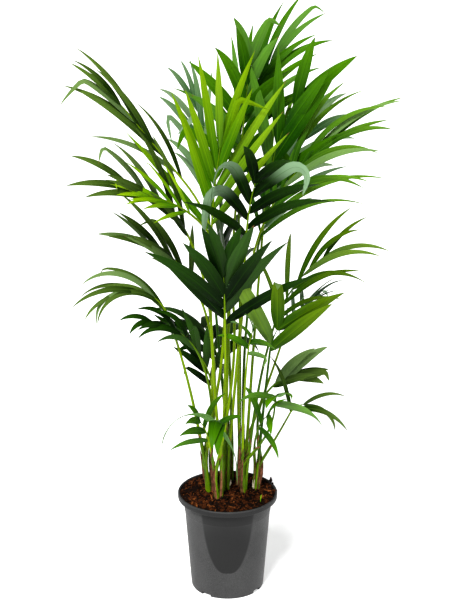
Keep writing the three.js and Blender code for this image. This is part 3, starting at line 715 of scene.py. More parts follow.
def leaf_top(tone):
    """Upper leaf face: darker at the foot as painted shade, fine lengthwise veins, painted shade in wide
    bands along the pleats, a pale midrib, painted grey sheen on some leaflets and on the arched part of
    others, a dry tip.
    """
    shaded_foot_color, tip_color, sheen_share, _ = TONES[tone]

    def paint(n):
        u, v, _ = n.parts(n.uv())
        fibres, pleat_shade = n.fibres(22.0, 1.5), n.fibres(6.0, 0.8)
        tint = n.attribute("tint")
        rise = n.math("ADD", n.span(v, 0.0, 1.0), n.times(tint, TINT_SHIFT))
        # painted shade: each leaflet darkens from its tip towards its foot
        color = n.mix(rise, shaded_foot_color, tip_color)
        dark = n.mix(VEIN_DARK_AND_PLEAT_SHADE, color, BLACK)
        color = n.mix(n.times(fibres["Mask"], VEIN_SHARE), color, dark)
        # painted shade in wide lengthwise bands, standing for the folds of the pleats
        color = n.mix(n.times(pleat_shade["Mask"], PLEAT_SHADE_SHARE), color, dark)
        # painted sheen: the lighter leaflets go towards a grey green gloss
        leaf_sheen = n.mix(sheen_share, color, PAINTED_SHEEN_COLOR)
        color = n.mix(n.span(tint, 0.35, 0.55), color, leaf_sheen)
        # painted sheen: pale grey green on the outer part of the arched leaflets
        pale = n.times(n.attribute("pale"), n.span(v, 0.25, 0.6, 0.0, 0.85))
        color = n.mix(pale, color, ARCH_SHEEN_COLOR)
        off_middle = n.math("ABSOLUTE", n.math("SUBTRACT", u, 0.5))
        midrib = n.span(off_middle, 0.012, 0.04, 1.0, 0.0)
        color = n.mix(n.times(midrib, MIDRIB_SHARE), color, tip_color)
        dry = n.span(n.math("ADD", v, n.times(tint, 0.02)), 0.975, 0.995)
        color = n.mix(dry, color, DRY_TIP_COLOR)
        roughness = n.span(fibres["Height"], 0.3, 0.7, 0.34, 0.46)
        return {"color": color, "roughness": roughness, "height": fibres["Height"], "relief": 0.0005}

    return finish_material("leaf " + tone, paint, specular=0.06)


def leaf_under(tone):
    """Lower leaf face: dull grey green with fine veins."""
    _, tip_color, _, greyness = TONES[tone]

    def paint(n):
        fibres = n.fibres(18.0, 1.2)
        color = n.mix(greyness, tip_color, UNDERSIDE_COLOR)
        color = n.mix(fibres["Mask"], color, n.mix(0.25, color, UNDERSIDE_VEIN_COLOR))
        return {"color": color, "height": fibres["Height"], "relief": 0.0004}

    return finish_material("leaf underside " + tone, paint, roughness=0.62, specular=0.10)


def stalk_material():
    """Bare stalk: yellow green with deeper green streaks, darker up along the midrib, and darker on the
    stalks further back as painted shade.
    """
    def paint(n):
        _, v, _ = n.parts(n.uv())
        fibres = n.fibres(9.0, 4.0)
        # painted shade: tint goes from the most shaded stalk at 0 to the most lit at 1
        tint = n.attribute("tint")
        light = n.mix(tint, *STALK_LIGHT_SHADED_TO_LIT)
        deep = n.mix(tint, *STALK_DEEP_SHADED_TO_LIT)
        color = n.mix(n.times(fibres["Mask"], 0.7), light, deep)
        color = n.mix(n.span(v, 0.55, 1.0, 0.0, 0.55), color, deep)
        return {"color": color, "height": fibres["Height"], "relief": 0.0004}

    return finish_material("green stalk", paint, roughness=0.4, specular=0.08)


def sheath_material():
    """Leaf sheath: green with ribs, going tan and brown where it is dry, and white on a scrap."""
    def paint(n):
        fibres, blotch = n.fibres(16.0, 5.0), n.mottle(120.0, 0.42, 0.62)
        green = n.mix(fibres["Mask"], *SHEATH_GREEN)
        tan = n.mix(fibres["Mask"], *SHEATH_TAN)
        tan = n.mix(blotch["Mask"], tan, SHEATH_BLOTCH)
        edge = n.math("ADD", n.attribute("dry"), n.times(blotch["Height"], 0.5))
        color = n.mix(n.span(edge, 0.62, 0.85), green, tan)
        color = n.mix(n.span(n.attribute("dry"), DRY_SCRAP - 0.3, DRY_SCRAP - 0.1), color, SCRAP_COLOR)
        roughness = n.span(edge, 0.6, 0.9, 0.45, 0.8)
        return {"color": color, "roughness": roughness, "height": fibres["Height"], "relief": 0.001}

    return finish_material("green sheath", paint, specular=0.12)


def pot_material(settings):
    """Grey plastic with a fine grain, and a smooth darker panel on its front. The rolled rim is darkened
    with the panel colour as painted shade, less so near its crest, which stays lighter. Half the panel's
    width is (1 - depth^1.5)^0.4 of that at its top."""
    plastic, panel_and_rim_shade_color = tuple(settings.color), tuple(settings.panel_and_rim_shade_color)

    def paint(n):
        x, y, z = n.parts(n.place())
        grain, cloud = n.mottle(900.0, 0.35, 0.65), n.mottle(14.0, 0.3, 0.7)
        span = settings.panel_top - settings.panel_foot
        depth = n.math("DIVIDE", n.math("SUBTRACT", settings.panel_top, z), span)
        fall = n.math("POWER", n.math("MAXIMUM", n.math("MINIMUM", depth, 1.0), 0.0), PANEL_FALL)
        half = n.math("POWER", n.math("SUBTRACT", 1.0, fall), PANEL_BLUNT)
        half = n.times(half, settings.panel_width / 2)
        inside = n.math("SUBTRACT", half, n.math("ABSOLUTE", x))
        inside = n.math("ADD", inside, n.times(grain["Height"], 0.005))
        panel = n.span(inside, -0.0005, 0.0045)
        for edge in (n.span(depth, 1.0, 0.985), n.span(depth, 0.0, 0.01), n.math("LESS_THAN", y, 0.0)):
            panel = n.times(panel, edge)
        light = n.mix(0.07, plastic, WHITE)
        color = n.mix(n.times(grain["Mask"], 0.5), plastic, light)
        color = n.mix(n.times(cloud["Mask"], 0.2), color, light)
        color = n.mix(n.times(panel, 0.9), color, panel_and_rim_shade_color)
        # painted shade on the rolled rim, weaker near the crest so that the crest stays lighter
        under = POT_HEIGHT - settings.rim_depth
        rim = n.span(z, under - 0.001, under + 0.001)
        rim = n.times(rim, n.span(z, POT_HEIGHT - 0.004, POT_HEIGHT - 0.001, 0.8, 0.15))
        color = n.mix(rim, color, panel_and_rim_shade_color)
        grit = n.times(grain["Height"], n.math("SUBTRACT", 1.0, n.times(panel, 0.8)))
        roughness = n.span(panel, 0.0, 1.0, 0.5, 0.38)
        return {"color": color, "roughness": roughness, "height": grit, "relief": 0.0003}

    return finish_material("pot plastic", paint, specular=0.22)


def soil_material():
    """Moist coir and bark: nearly black with red brown crumbs."""
    def paint(n):
        crumbs, patches = n.mottle(260.0, 0.48, 0.62), n.mottle(60.0, 0.35, 0.7)
        color = n.mix(crumbs["Mask"], MIX_DARK, MIX_CRUMB)
        color = n.mix(n.times(patches["Mask"], 0.5), color, MIX_PATCH)
        return {"color": color, "height": crumbs["Height"], "relief": 0.004}

    return finish_material("potting mix", paint, roughness=0.9, specular=0.06)


def bark_material(name, color):
    """One kind of bark chip or coir: its colour with darker grain."""
    def paint(n):
        grain = n.mottle(700.0, 0.4, 0.62)
        dark = n.mix(0.65, color, BARK_GRAIN)
        tone = n.mix(grain["Mask"], color, dark)
        return {"color": tone, "height": grain["Height"], "relief": 0.001}

    return finish_material(name, paint, roughness=0.8, specular=0.08)


def floor_material(settings):
    """Pale floor with a faint cloud, lit a little from below."""
    color = tuple(settings.floor_color)

    def paint(n):
        return {"color": n.mix(n.times(n.mottle(2.0, 0.3, 0.7)["Mask"], 0.02), color, WHITE)}

    material = finish_material("floor", paint, roughness=0.8, specular=0.1)
    shader = material.node_tree.nodes["Principled BSDF"]
    shader.inputs["Emission Color"].default_value = rgba(WHITE)
    shader.inputs["Emission Strength"].default_value = settings.floor_glow
    return material


# Settings

def metres(name, text, default):
    """A length setting."""
    return FloatProperty(name=name, description=text, default=default, unit="LENGTH")


def fraction(name, text, default):
    """A setting from 0 to 1."""
    return FloatProperty(name=name, description=text, default=default, min=0, max=1, subtype="FACTOR")


def degrees(name, text, default):
    """An angle setting, given in degrees."""
    return FloatProperty(name=name, description=text, default=np.radians(default), subtype="ANGLE")


def colour(name, text, *default):
    """A colour setting."""
    return FloatVectorProperty(name=name, description=text, default=default, subtype="COLOR")


def amount(name, text, default):
    """A plain number, whole or not."""
    kind = IntProperty if isinstance(default, int) else FloatProperty
    return kind(name=name, description=text, default=default)


class PotSettings(bpy.types.PropertyGroup):
    """Sizes and colours of the pot that its node does not tell."""
    rim_depth: metres("Rim depth", "Height of the rolled rim", 0.012)
    rim_roll: metres("Rim roll", "Radius of the rounded crest", 0.0023)
    body_top_radius: metres("Body radius", "Outer radius under the rim", 0.0935)
    foot_radius: metres("Foot radius", "Outer radius at the ground", 0.077)
    wall: metres("Wall", "Wall thickness", 0.002)
    floor: metres("Floor", "Floor thickness", 0.010)
    step_below_rim: metres("Step", "How far the step is below the crest", 0.040)
    step_out: metres("Step out", "How far the step stands out", 0.0008)
    notch_width: metres("Notch width", "Width of a foot notch", 0.022)
    notch_height: metres("Notch height", "Height of a foot notch", 0.007)
    notch_depth: metres("Notch depth", "Depth of a foot notch", 0.008)
    notch_turn: degrees("Notch turn", "Bearing of the first foot notch", -126)
    notch_count: amount("Notches", "Number of foot notches", 4)
    panel_top: metres("Panel top", "Height of the panel's upper edge", 0.2025)
    panel_foot: metres("Panel foot", "Height of the panel's lowest point", 0.062)
    panel_width: metres("Panel width", "Width of the panel at its top", 0.106)
    color: colour("Colour", "Plastic colour", 0.023, 0.023, 0.023)
    # also the colour of the painted shade on the rim
    panel_and_rim_shade_color: colour("Panel colour", "Colour of the smooth panel", 0.011, 0.011, 0.011)


class SoilSettings(bpy.types.PropertyGroup):
    """The potting mix and what lies on it."""
    radius: metres("Radius", "Radius where the mix meets the rim", 0.0990)
    neck_radius: metres("Neck radius", "Radius of the mix inside the body", 0.0906)
    foot_radius: metres("Foot radius", "Radius of the mix on the pot's floor", 0.0744)
    edge_drop: metres("Edge drop", "How far the mix falls towards the wall", 0.0045)
    relief: metres("Relief", "Unevenness of the surface", 0.0025)
    chips: amount("Chips", "Number of dark chips, from which the other kinds are counted", 680)
    fibres: amount("Fibres", "Number of coir fibres", 260)
    sprout_place: FloatVectorProperty(name="Sprout", description="Where the young shoot stands",
                                      size=2, default=(0.0684, -0.0545), unit="LENGTH")
    sprout_height: metres("Sprout height", "Height of the young shoot", 0.018)
    sprout_width: metres("Sprout width", "Width of the young shoot", 0.0026)
    dark: colour("Dark bark", "Colour of the dark chips", 0.013, 0.006, 0.004)
    red: colour("Red bark", "Colour of the red brown chips", 0.090, 0.027, 0.008)
    tan: colour("Tan bark", "Colour of the pale chips", 0.27, 0.090, 0.024)


class StemSettings(bpy.types.PropertyGroup):
    """The sheaths that wrap the stems."""
    base_radius: metres("Base radius", "Radius of one sheath at the soil", 0.0037)
    cover: metres("Cover", "How far a sheath runs up its stalk", 0.030)
    dry_share: fraction("Dry share", "How many sheaths carry a dry strip", 0.55)
    scrap_rarity: amount("Scrap rarity", "From -1, a pale scrap on every sheath, to 1, none", 0.2)
    strip_height: metres("Strip height", "Height of a dry strip", 0.085)
    scrap_height: metres("Scrap height", "Height of a pale scrap", 0.024)


class LeafSettings(bpy.types.PropertyGroup):
    """Leaflets, stalks and midribs."""
    steps: amount("Steps", "Faces along a leaflet", 20)
    columns: amount("Columns", "Points across a leaflet", 7)
    thickness: metres("Thickness", "Thickness of a leaflet in its middle", 0.0005)
    fold_rarity: fraction("Fold rarity", "Above this draw a tip folds over", 0.90)
    rib_tip_radius: metres("Rib tip", "Radius at the end of a midrib", 0.0008)


class StageSettings(bpy.types.PropertyGroup):
    """Camera, light and floor."""
    camera_back: metres("Distance", "Camera's distance in front", 2.82)
    camera_side: metres("Side", "Camera's place to the left or right", -0.0053)
    camera_height: metres("Height", "Camera's height", 1.5445)
    camera_tilt: degrees("Tilt", "How far the camera looks down", 17.8)
    lens: amount("Lens", "Focal length in millimetres on a 36 mm sensor", 87.6)
    world_light: amount("Surroundings", "Brightness all round", 0.24)
    key_light: amount("Key light", "Strength of the key light", 3.8)
    fill_light: amount("Fill light", "Strength of the fill light", 0.5)
    floor_glow: amount("Floor glow", "How far the floor is lit from below", 0.45)
    floor_color: colour("Floor", "Floor colour", 0.90, 0.90, 0.90)


class PalmSettings(bpy.types.PropertyGroup):
    """All settings of the palm."""
    pot: PointerProperty(type=PotSettings)
    soil: PointerProperty(type=SoilSettings)
    stem: PointerProperty(type=StemSettings)
    leaf: PointerProperty(type=LeafSettings)
    stage: PointerProperty(type=StageSettings)


# Pieces

def arc(radius, height, size, start, end, count):
    """Points of an outline on a circle about (radius, height), between two bearings in degrees."""
    a = np.radians(np.linspace(start, end, count))
    return zip(radius + size * np.cos(a), height + size * np.sin(a))


def pot_outline(settings):
    """The wall's outline as radius and height, from the middle of the underside round to the floor."""
    under = POT_HEIGHT - settings.rim_depth
    step = POT_HEIGHT - settings.step_below_rim
    foot, top, wall = settings.foot_radius, settings.body_top_radius, settings.wall
    roll, lip, hollow, middle = settings.rim_roll, 0.0015, 0.0015, 0.0004
    inner_lip = RIM_RADIUS - 2 * roll

    def body(z):
        return lerp(foot, top, z / under)

    low = np.array([0.004, 0.02, 0.06, 0.10, 0.14, step - 0.001])
    return np.array([
        (middle, hollow), (foot - 0.014, hollow), (foot - 0.0125, 0), (foot - 0.009, 0),
        (foot - settings.notch_depth, 0), (foot - 0.003, 0), (foot - 0.0009, 0.0006), (foot, 0.0022),
        *[(body(z) - settings.step_out * z / step, z) for z in low],
        (body(step) - 0.0002, step), (body(step) + 0.0001, step + 0.001),
        (body(under - 0.012), under - 0.012), (top, under - 0.0012), (top + 0.0012, under),
        *arc(RIM_RADIUS - lip, under + lip, lip, -90, 0, 4),
        *arc(RIM_RADIUS - roll, POT_HEIGHT - roll, roll, 0, 180, 11),
        (inner_lip - 0.0002, under + 0.0035), (inner_lip - 0.001, under + 0.0025),
        (top - wall + 0.001, under + 0.0025), (top - wall, under + 0.0015), (top - wall, under - 0.004),
        (lerp(foot, top, 0.5) - wall, under / 2),
        (foot - wall, settings.floor + 0.003), (foot - wall - 0.003, settings.floor),
        (middle, settings.floor)])


def pot_skin(settings):
    """The outline turned about the upright axis. In a foot notch, what is lower than its height and
    further out than its depth is lifted to that height."""
    outline = pot_outline(settings)
    half = np.arcsin(settings.notch_width / 2 / settings.foot_radius)
    bearings = settings.notch_turn + np.arange(settings.notch_count) * 2 * np.pi / settings.notch_count
    edges = [bearings + s * (half + e) for s in (-1, 1) for e in (-NOTCH_EDGE, NOTCH_EDGE)]
    round_angles = np.linspace(0, 2 * np.pi, POT_SIDES + 1)[:-1]
    angles = np.unique(np.concatenate([round_angles, np.concatenate(edges) % (2 * np.pi)]))
    radius = np.broadcast_to(outline[:, None, 0], (len(outline), len(angles)))
    height = np.broadcast_to(outline[:, None, 1], radius.shape).copy()
    away = np.abs((angles[None] - bearings[:, None] + np.pi) % (2 * np.pi) - np.pi).min(0)
    cut = (away < half)[None] & (radius > settings.foot_radius - settings.notch_depth + 1e-5)
    height[cut & (height < settings.notch_height)] = settings.notch_height
    points = np.stack([radius * np.cos(angles), radius * np.sin(angles), height], -1)
    skin = Skin()
    skin.add(points, ring_faces(len(outline), len(angles)))
    return skin


def soil_height(x, y, settings):
    """Height of the mix: level in the middle, falling at the edge, with waves of several lengths."""
    waves = sum(np.sin(x * k + k) * np.cos(y * k * 0.83 + 2 * k) / n for n, k in SOIL_WAVES)
    fall = settings.edge_drop * smooth(SOIL_LEVEL, settings.radius, np.hypot(x, y)) ** SOIL_FALL
    return SOIL_TOP - SOIL_SINK - fall + settings.relief * SOIL_ROUGH * waves


class PALM_OT_pot(bpy.types.Operator):
    """Nursery pot: rolled rim, faint step, foot notches and a smooth panel"""
    bl_idname = "palm.pot"
    bl_label = "Pot"

    def execute(self, context):
        settings = context.scene.palm.pot
        pot_skin(settings).piece("nursery_pot", [pot_material(settings)], "pot", ["pot"], sharp=35)
        return {"FINISHED"}


class PALM_OT_soil(bpy.types.Operator):
    """Potting mix: an uneven bed that fills the pot"""
    bl_idname = "palm.soil"
    bl_label = "Soil"

    def execute(self, context):
        settings = context.scene.palm.soil
        sides = 120
        a = 2 * np.pi * np.arange(sides) / sides
        radii = settings.radius * np.linspace(1, 0.01, 48) ** 0.9
        x, y = radii[:, None] * np.cos(a), radii[:, None] * np.sin(a)
        top = np.stack([x, y, soil_height(x, y, settings)], -1)
        floor = POT_LOW.z + context.scene.palm.pot.floor + GAP * MM
        ring = np.stack([np.cos(a), np.sin(a), 0 * a], -1)
        shelf = POT_HEIGHT - context.scene.palm.pot.rim_depth + 0.0032
        low = [ring * 0.001 + [0, 0, floor], ring * settings.foot_radius + [0, 0, floor],
               ring * settings.neck_radius + [0, 0, shelf - 0.006],
               ring * settings.neck_radius + [0, 0, shelf], ring * settings.radius + [0, 0, shelf]]
        points = np.concatenate([np.stack(low), top])
        skin = Skin()
        skin.add(points, ring_faces(len(points), sides))
        skin.piece("soil_bed", [soil_material()], "soil", ["soil"])
        return {"FINISHED"}


def splinters(rng, count, size, varies=CHIP_VARIES):
    """Bark bits: four-sided rings along a line, narrow at both ends, each corner moved a little. Size
    is their length, width and thickness."""
    size = np.exp(rng.normal(0, varies, (count, 3))) * size
    corner = np.array([(-1, -1), (1, -1), (1, 1), (-1, 1)]) / 2
    shape = np.zeros((count, 4, 4, 3))
    shape[..., 0] = np.array(CHIP_RINGS)[:, None]
    shape[..., 1:] = corner * np.array(CHIP_WIDTHS)[:, None, None]
    shape += rng.uniform(-CHIP_ROUGH, CHIP_ROUGH, shape.shape)
    return shape * size[:, None, None]


def scattered(rng, shapes, settings, tilt, sink):
    """Shapes turned and laid on the mix: a turn about the upright, then a tilt, then their place."""
    count = len(shapes)
    r = (settings.radius - 0.003) * np.sqrt(rng.uniform(0.0, 1, count))
    a = rng.uniform(0, 2 * np.pi, count)
    x, y = r * np.cos(a), r * np.sin(a)
    lean_axis = np.stack([np.cos(a * 7), np.sin(a * 7), 0 * a], -1)[:, None, None]
    shapes = turn(shapes, UP, (a * 13)[:, None, None])
    shapes = turn(shapes, lean_axis, rng.normal(0, tilt, count)[:, None, None])
    z = soil_height(x, y, settings) + sink * rng.uniform(-0.4, 1, count)
    return shapes + np.stack([x, y, z], -1)[:, None, None]


class PALM_OT_bark(bpy.types.Operator):
    """Bark chips in three colours, coir fibres, and the bits that fell onto the rim"""
    bl_idname = "palm.bark"
    bl_label = "Bark chips"

    def execute(self, context):
        settings = context.scene.palm.soil
        rng = np.random.default_rng(BARK_SEED)
        for name, color, share, *size in (("bark_dark", settings.dark, 1.0, 0.0090, 0.0045, 0.0024),
                                          ("bark_red", settings.red, 1.3, 0.0078, 0.0038, 0.0020),
                                          ("bark_tan", settings.tan, 0.5, 0.0062, 0.0028, 0.0015)):
            count = int(settings.chips * share)
            shapes = scattered(rng, splinters(rng, count, size), settings, tilt=0.45, sink=0.0018)
            if name == "bark_dark":
                shapes = np.concatenate([shapes, self.spilled(rng)])
            skin = Skin()
            skin.add(shapes, repeat_faces(ring_faces(4, 4), len(shapes), 16))
            skin.piece(name, [bark_material(name.replace("_", " "), tuple(color))], "soil", sharp=20)
        steps = np.linspace(-0.5, 0.5, 6)
        bow = (steps**2 * 4 - 1) * 0.5
        count = settings.fibres
        reach = rng.uniform(*FIBRE_LENGTH, (count, 1))
        curl = rng.uniform(-FIBRE_CURL, FIBRE_CURL, (count, 1))
        arch = rng.uniform(0.0, FIBRE_RISE, (count, 1))
        line = np.stack([steps * reach, curl * reach * bow, -arch * reach * bow], -1)
        a = 2 * np.pi * np.arange(3) / 3
        ring = np.stack([0 * a, np.cos(a), np.sin(a)], -1) * FIBRE_RADIUS
        fibres = scattered(rng, line[:, :, None] + ring, settings, tilt=0.25, sink=0.0016)
        skin = Skin()
        skin.add(fibres, repeat_faces(ring_faces(6, 3), count, 18))
        skin.piece("coir_fibres", [bark_material("coir", tuple(settings.red))], "soil")
        return {"FINISHED"}

    def spilled(self, rng):
        """The chip that stands on the rim, and the crumbs along it, laid on the crest."""
        bits = np.array(SPILLED)
        bearing, lean = np.radians(bits[:, 0]), np.radians(bits[:, 4])
        shapes = splinters(rng, len(bits), 1.0, varies=0.0) * bits[:, None, None, 1:4] * MM
        shapes = turn(shapes, FORWARD, lean[:, None, None])
        shapes = turn(shapes, UP, (bearing + 1.2)[:, None, None])
        r = RIM_RADIUS - 0.0030
        z = POT_HEIGHT + 0.0004 - shapes[..., 2].min((1, 2)) * 0.85
        return shapes + np.stack([r * np.cos(bearing), r * np.sin(bearing), z], -1)[:, None, None]


class PALM_OT_sprout(bpy.types.Operator):
    """Young shoot: a pale green blade, folded along its middle, that stands on the mix"""
    bl_idname = "palm.sprout"
    bl_label = "Sprout"

    def execute(self, context):
        soil, leaf = context.scene.palm.soil, context.scene.palm.leaf
        foot = np.array([*soil.sprout_place, 0.0])
        foot[2] = soil_height(foot[0], foot[1], soil) - SPROUT_FOOT
        rows, columns = 13, 7
        t, c = np.linspace(0, 1, rows), np.linspace(-1, 1, columns)
        rise = soil.sprout_height + SPROUT_FOOT
        centre = foot + np.stack([SPROUT_LEAN[0] * t**2, SPROUT_LEAN[1] * t**2, t], -1) * rise
        half = soil.sprout_width / 2 * lerp(SPROUT_NARROW, 1, smooth(0, 0.7, t)) * np.sqrt(1.001 - t**4)
        across = half[:, None] * c
        back = SPROUT_FOLD * half[:, None] * np.abs(c) ** 1.5
        middle = centre[:, None] + np.stack([across, back, 0 * across], -1)
        shift = np.array([0.0, leaf.thickness / 2, 0.0])
        skin = Skin()
        faces = leaf_faces(1, rows, columns)
        skin.add(np.stack([middle - shift, middle + shift]), faces, tint=0.9, pale=0.0)
        skin.piece("sprout", [leaf_top("bright"), leaf_under("bright")], "leaf_bright")
        return {"FINISHED"}


def sheath_path(frond, settings):
    """Centre line of one sheath: from the soil to its stalk's foot, then up along the stalk."""
    stalk, _ = frond_curves(frond)
    outward = SHEATH_IN * (stalk[0] - stem_top(frond.stem))
    start = np.array([*STEMS[frond.stem].foot, 0]) * MM + outward
    start[2] = SOIL_TOP - SHEATH_FOOT
    leaving = unit(UP + SHEATH_LEAN * unit(stalk[0] - start))
    rise = bend(start, stalk[0], leaving, curve_heading(stalk, 0.0))
    long = np.linalg.norm(np.diff(on_curve(stalk, np.linspace(0, 1, 30)), axis=0), axis=1).sum()
    cover = settings.cover * (1 + COVER_VARIES * vary(frond.seed, 1, DRAW_COVER)) / long
    return np.concatenate([on_curve(rise, np.linspace(0, 1, 12)[:-1]),
                           on_curve(stalk, np.linspace(0, cover, 9))])


class PALM_OT_stems(bpy.types.Operator):
    """Stem bases: a green sheath for each stalk, and dry brown strips of old ones"""
    bl_idname = "palm.stems"
    bl_label = "Stems"

    def execute(self, context):
        settings = context.scene.palm.stem
        sides = 16
        for key in STEMS:
            skin = Skin()
            for frond in [f for f in FRONDS if f.stem == key]:
                share = SMALL_SHARE if frond.small else 1.0
                seed = frond.seed
                path = sheath_path(frond, settings)
                t = np.linspace(0, 1, len(path))
                end = STALK_FOOT_RADIUS * share * MM + SHEATH_LOOSE
                swell = SHEATH_SWELL + SWELL_VARIES * vary(seed, 7, DRAW_SHEATH)
                radii = lerp(settings.base_radius * share * swell, end, t**SHEATH_TAPER)
                start = 2 * np.pi * vary(seed, 2, DRAW_SHEATH)
                slant = SHEATH_SLANT * smooth(0.5, 1, t)
                points = tube_points(path, radii, sides, slant, SHEATH_OVAL, start)
                a = 2 * np.pi * np.arange(sides) / sides
                seam = smooth(0.35, 1, np.cos(a - start + SEAM_TURN)) * smooth(1.0, 0.2, t)[:, None]
                dry = np.maximum(seam, smooth(0.88, 1.0, t)[:, None])
                skin.add(points, ring_faces(len(path), sides), dry=dry.ravel())
                if vary(seed, 4, DRAW_STRIP) < 2 * settings.dry_share - 1:
                    tall = settings.strip_height * (1 + STRIP_TALL_VARIES * vary(seed, 5, DRAW_TALL))
                    self.dry_strip(skin, path, radii, seed, tall, DRY_STRIP)
                if vary(seed, 6, DRAW_SCRAP) > settings.scrap_rarity:
                    self.dry_strip(skin, path, radii, seed + 0.5, settings.scrap_height, DRY_SCRAP)
            skin.piece("sheaths_" + key, [sheath_material()], "sheath", ["stem_" + key], sharp=45)
        return {"FINISHED"}

    def dry_strip(self, skin, path, radii, seed, tall, dry):
        """A strip of old sheath: the sheath's own tube a little larger, between two bearings that
        draw together upwards, as tall as its torn edge, and flared where it is torn."""
        rows, columns = 14, 7
        c = np.linspace(-1, 1, columns)[None]
        t = np.linspace(0, 1, rows)[:, None]
        torn = 1 - STRIP_TORN * np.abs(c + TORN_VARIES * vary(seed, 1, DRAW_TORN)) ** TORN_CURVE
        steps = np.linalg.norm(np.diff(path, axis=0), axis=1)
        length = np.concatenate([[0.0], np.cumsum(steps)])
        reach = STRIP_START + t * tall * torn
        _, side, other = ring_frames(path)

        def along(values):
            return np.stack([np.interp(reach, length, v) for v in values.T], -1)

        flare = STRIP_FLARE * smooth(0.55, 1, t) * (1 + vary(seed, 2, DRAW_FLARE))
        radius = np.interp(reach, length, radii) + STRIP_OFF + flare
        half_round = STRIP_ROUND + ROUND_VARIES * vary(seed, 4, DRAW_SCRAP)
        a = np.pi * vary(seed, 3, DRAW_SHEATH) + c * half_round * (1 - STRIP_NARROWS * t)
        ring = along(side) * np.cos(a)[..., None] * SHEATH_OVAL + along(other) * np.sin(a)[..., None]
        outer = along(path) + ring * radius[..., None]
        inner = along(path) + ring * (radius - STRIP_THICKNESS)[..., None]
        faces = [(corners, uv, 0) for corners, uv, _ in leaf_faces(1, rows, columns)]
        skin.add(np.stack([outer, inner]), faces, dry=dry)


class PALM_OT_stalks(bpy.types.Operator):
    """Bare stalks that run on as the midribs of their fronds"""
    bl_idname = "palm.stalks"
    bl_label = "Stalks and midribs"

    def execute(self, context):
        settings = context.scene.palm.leaf
        sides, stalk_rings, rib_rings = 12, 31, 17
        for frond in FRONDS:
            stalk, rib = frond_curves(frond)
            share = SMALL_SHARE if frond.small else 1.0
            low = on_curve(stalk, np.linspace(0, 1, stalk_rings)[:-1])
            high = on_curve(rib, np.linspace(0, 1, rib_rings))
            foot, neck = STALK_FOOT_RADIUS * share * MM, STALK_NECK_RADIUS * share * MM
            radii = np.concatenate([np.linspace(foot, neck, stalk_rings)[:-1],
                                    np.linspace(neck, settings.rib_tip_radius, rib_rings)])
            path = np.concatenate([low, high])
            # painted shade: stalks of stems further back in the crown are darker
            shade = STEMS[frond.stem].shade
            tint = np.clip(shade + SHADE_VARIES * vary(frond.seed, 3, DRAW_SHADE), 0, 1)
            skin = Skin()
            skin.add(tube_points(path, radii, sides), ring_faces(len(path), sides), tint=tint)
            node = "frond_" if frond.small else "stalk_"
            skin.piece("rib_" + frond.name, [stalk_material()], "stalk", [node + frond.name])
        return {"FINISHED"}


class PALM_OT_leaflets(bpy.types.Operator):
    """Leaflets of every frond"""
    bl_idname = "palm.leaflets"
    bl_label = "Leaflets"

    def execute(self, context):
        settings = context.scene.palm.leaf
        rows, columns = settings.steps + 1, settings.columns
        for frond in FRONDS:
            _, rib = frond_curves(frond)
            course = leaflet_courses(frond, rib, settings)
            both = np.stack(leaflet_surfaces(frond, course, settings), 1)
            each = both[0, ..., 0].size
            tint = np.repeat(vary(frond.seed, course.number, DRAW_TINT), each)
            pale = np.repeat(course.pale, each)
            skin = Skin()
            skin.add(both, leaf_faces(len(both), rows, columns), tint=tint, pale=pale)
            look = LOOKS.get(frond.name, frond.tone)
            materials = [leaf_top(look), leaf_under(look)]
            skin.piece("leaflets_" + frond.name, materials, "leaf_" + frond.tone,
                       ["frond_" + frond.name])
        return {"FINISHED"}


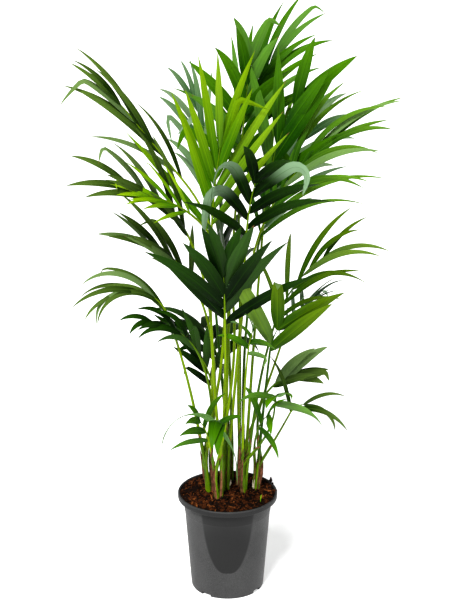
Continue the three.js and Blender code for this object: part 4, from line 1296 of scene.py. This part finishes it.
class PALM_OT_stage(bpy.types.Operator):
    """Pale floor, soft light and the camera"""
    bl_idname = "palm.stage"
    bl_label = "Stage"

    def execute(self, context):
        settings = context.scene.palm.stage
        scene = context.scene
        floor = bpy.data.meshes.new("floor")
        sides = ((-1, -1), (1, -1), (1, 1), (-1, 1))
        floor.from_pydata([(x * FLOOR_REACH, y * FLOOR_REACH, 0) for x, y in sides], [], [(0, 1, 2, 3)])
        floor.materials.append(floor_material(settings))
        ground = placed("floor", floor)
        world = bpy.data.worlds.new("studio")
        world.use_nodes = True
        shade = world.node_tree.nodes["Background"]
        shade.inputs[0].default_value = rgba(WHITE)
        n = Nodes(world.node_tree)
        seen = n.add("LightPath").outputs["Is Camera Ray"]
        strength = n.span(seen, 0.0, 1.0, settings.world_light, 1.0)
        world.node_tree.links.new(strength, shade.inputs[1])
        scene.world = world
        for name, aim, power, spread in (("key light", KEY_AIM, settings.key_light, KEY_SPREAD),
                                         ("fill light", FILL_AIM, settings.fill_light, FILL_SPREAD)):
            lamp = bpy.data.lights.new(name, "SUN")
            lamp.energy = power
            lamp.angle = np.radians(spread)
            made = placed(name, lamp)
            made.rotation_mode = "QUATERNION"
            made.rotation_quaternion = Vector(aim).to_track_quat("-Z", "Y")
        scene.view_settings.view_transform = "Standard"
        scene.view_settings.look = "Medium High Contrast"
        camera = bpy.data.cameras.new("camera")
        camera.lens = settings.lens
        camera.sensor_width = SENSOR_WIDTH
        made = placed("camera", camera)
        made.location = (settings.camera_side, -settings.camera_back, settings.camera_height)
        made.rotation_euler = (np.pi / 2 - settings.camera_tilt, 0, 0)
        scene.camera = made
        return {"FINISHED"}


class PALM_PT_panel(bpy.types.Panel):
    """Lists the steps that build the palm"""
    bl_label = "Potted kentia palm"
    bl_idname = "PALM_PT_panel"
    bl_space_type = "VIEW_3D"
    bl_region_type = "UI"
    bl_category = "Palm"

    def draw(self, context):
        for step in STEPS:
            self.layout.operator(step.bl_idname)


STEPS = (PALM_OT_pot, PALM_OT_soil, PALM_OT_bark, PALM_OT_sprout, PALM_OT_stems,
         PALM_OT_stalks, PALM_OT_leaflets, PALM_OT_stage)
CLASSES = (PotSettings, SoilSettings, StemSettings, LeafSettings, StageSettings, PalmSettings,
           *STEPS, PALM_PT_panel)


def register():
    """Adds the classes and the settings to Blender."""
    for made in CLASSES:
        bpy.utils.register_class(made)
    bpy.types.Scene.palm = PointerProperty(type=PalmSettings)


def unregister():
    """Takes them out again."""
    del bpy.types.Scene.palm
    for made in reversed(CLASSES):
        bpy.utils.unregister_class(made)


def main():
    """Builds the palm step by step."""
    register()
    for step in STEPS:
        group, action = step.bl_idname.split(".")
        getattr(getattr(bpy.ops, group), action)()


if __name__ == "__main__":
    main()
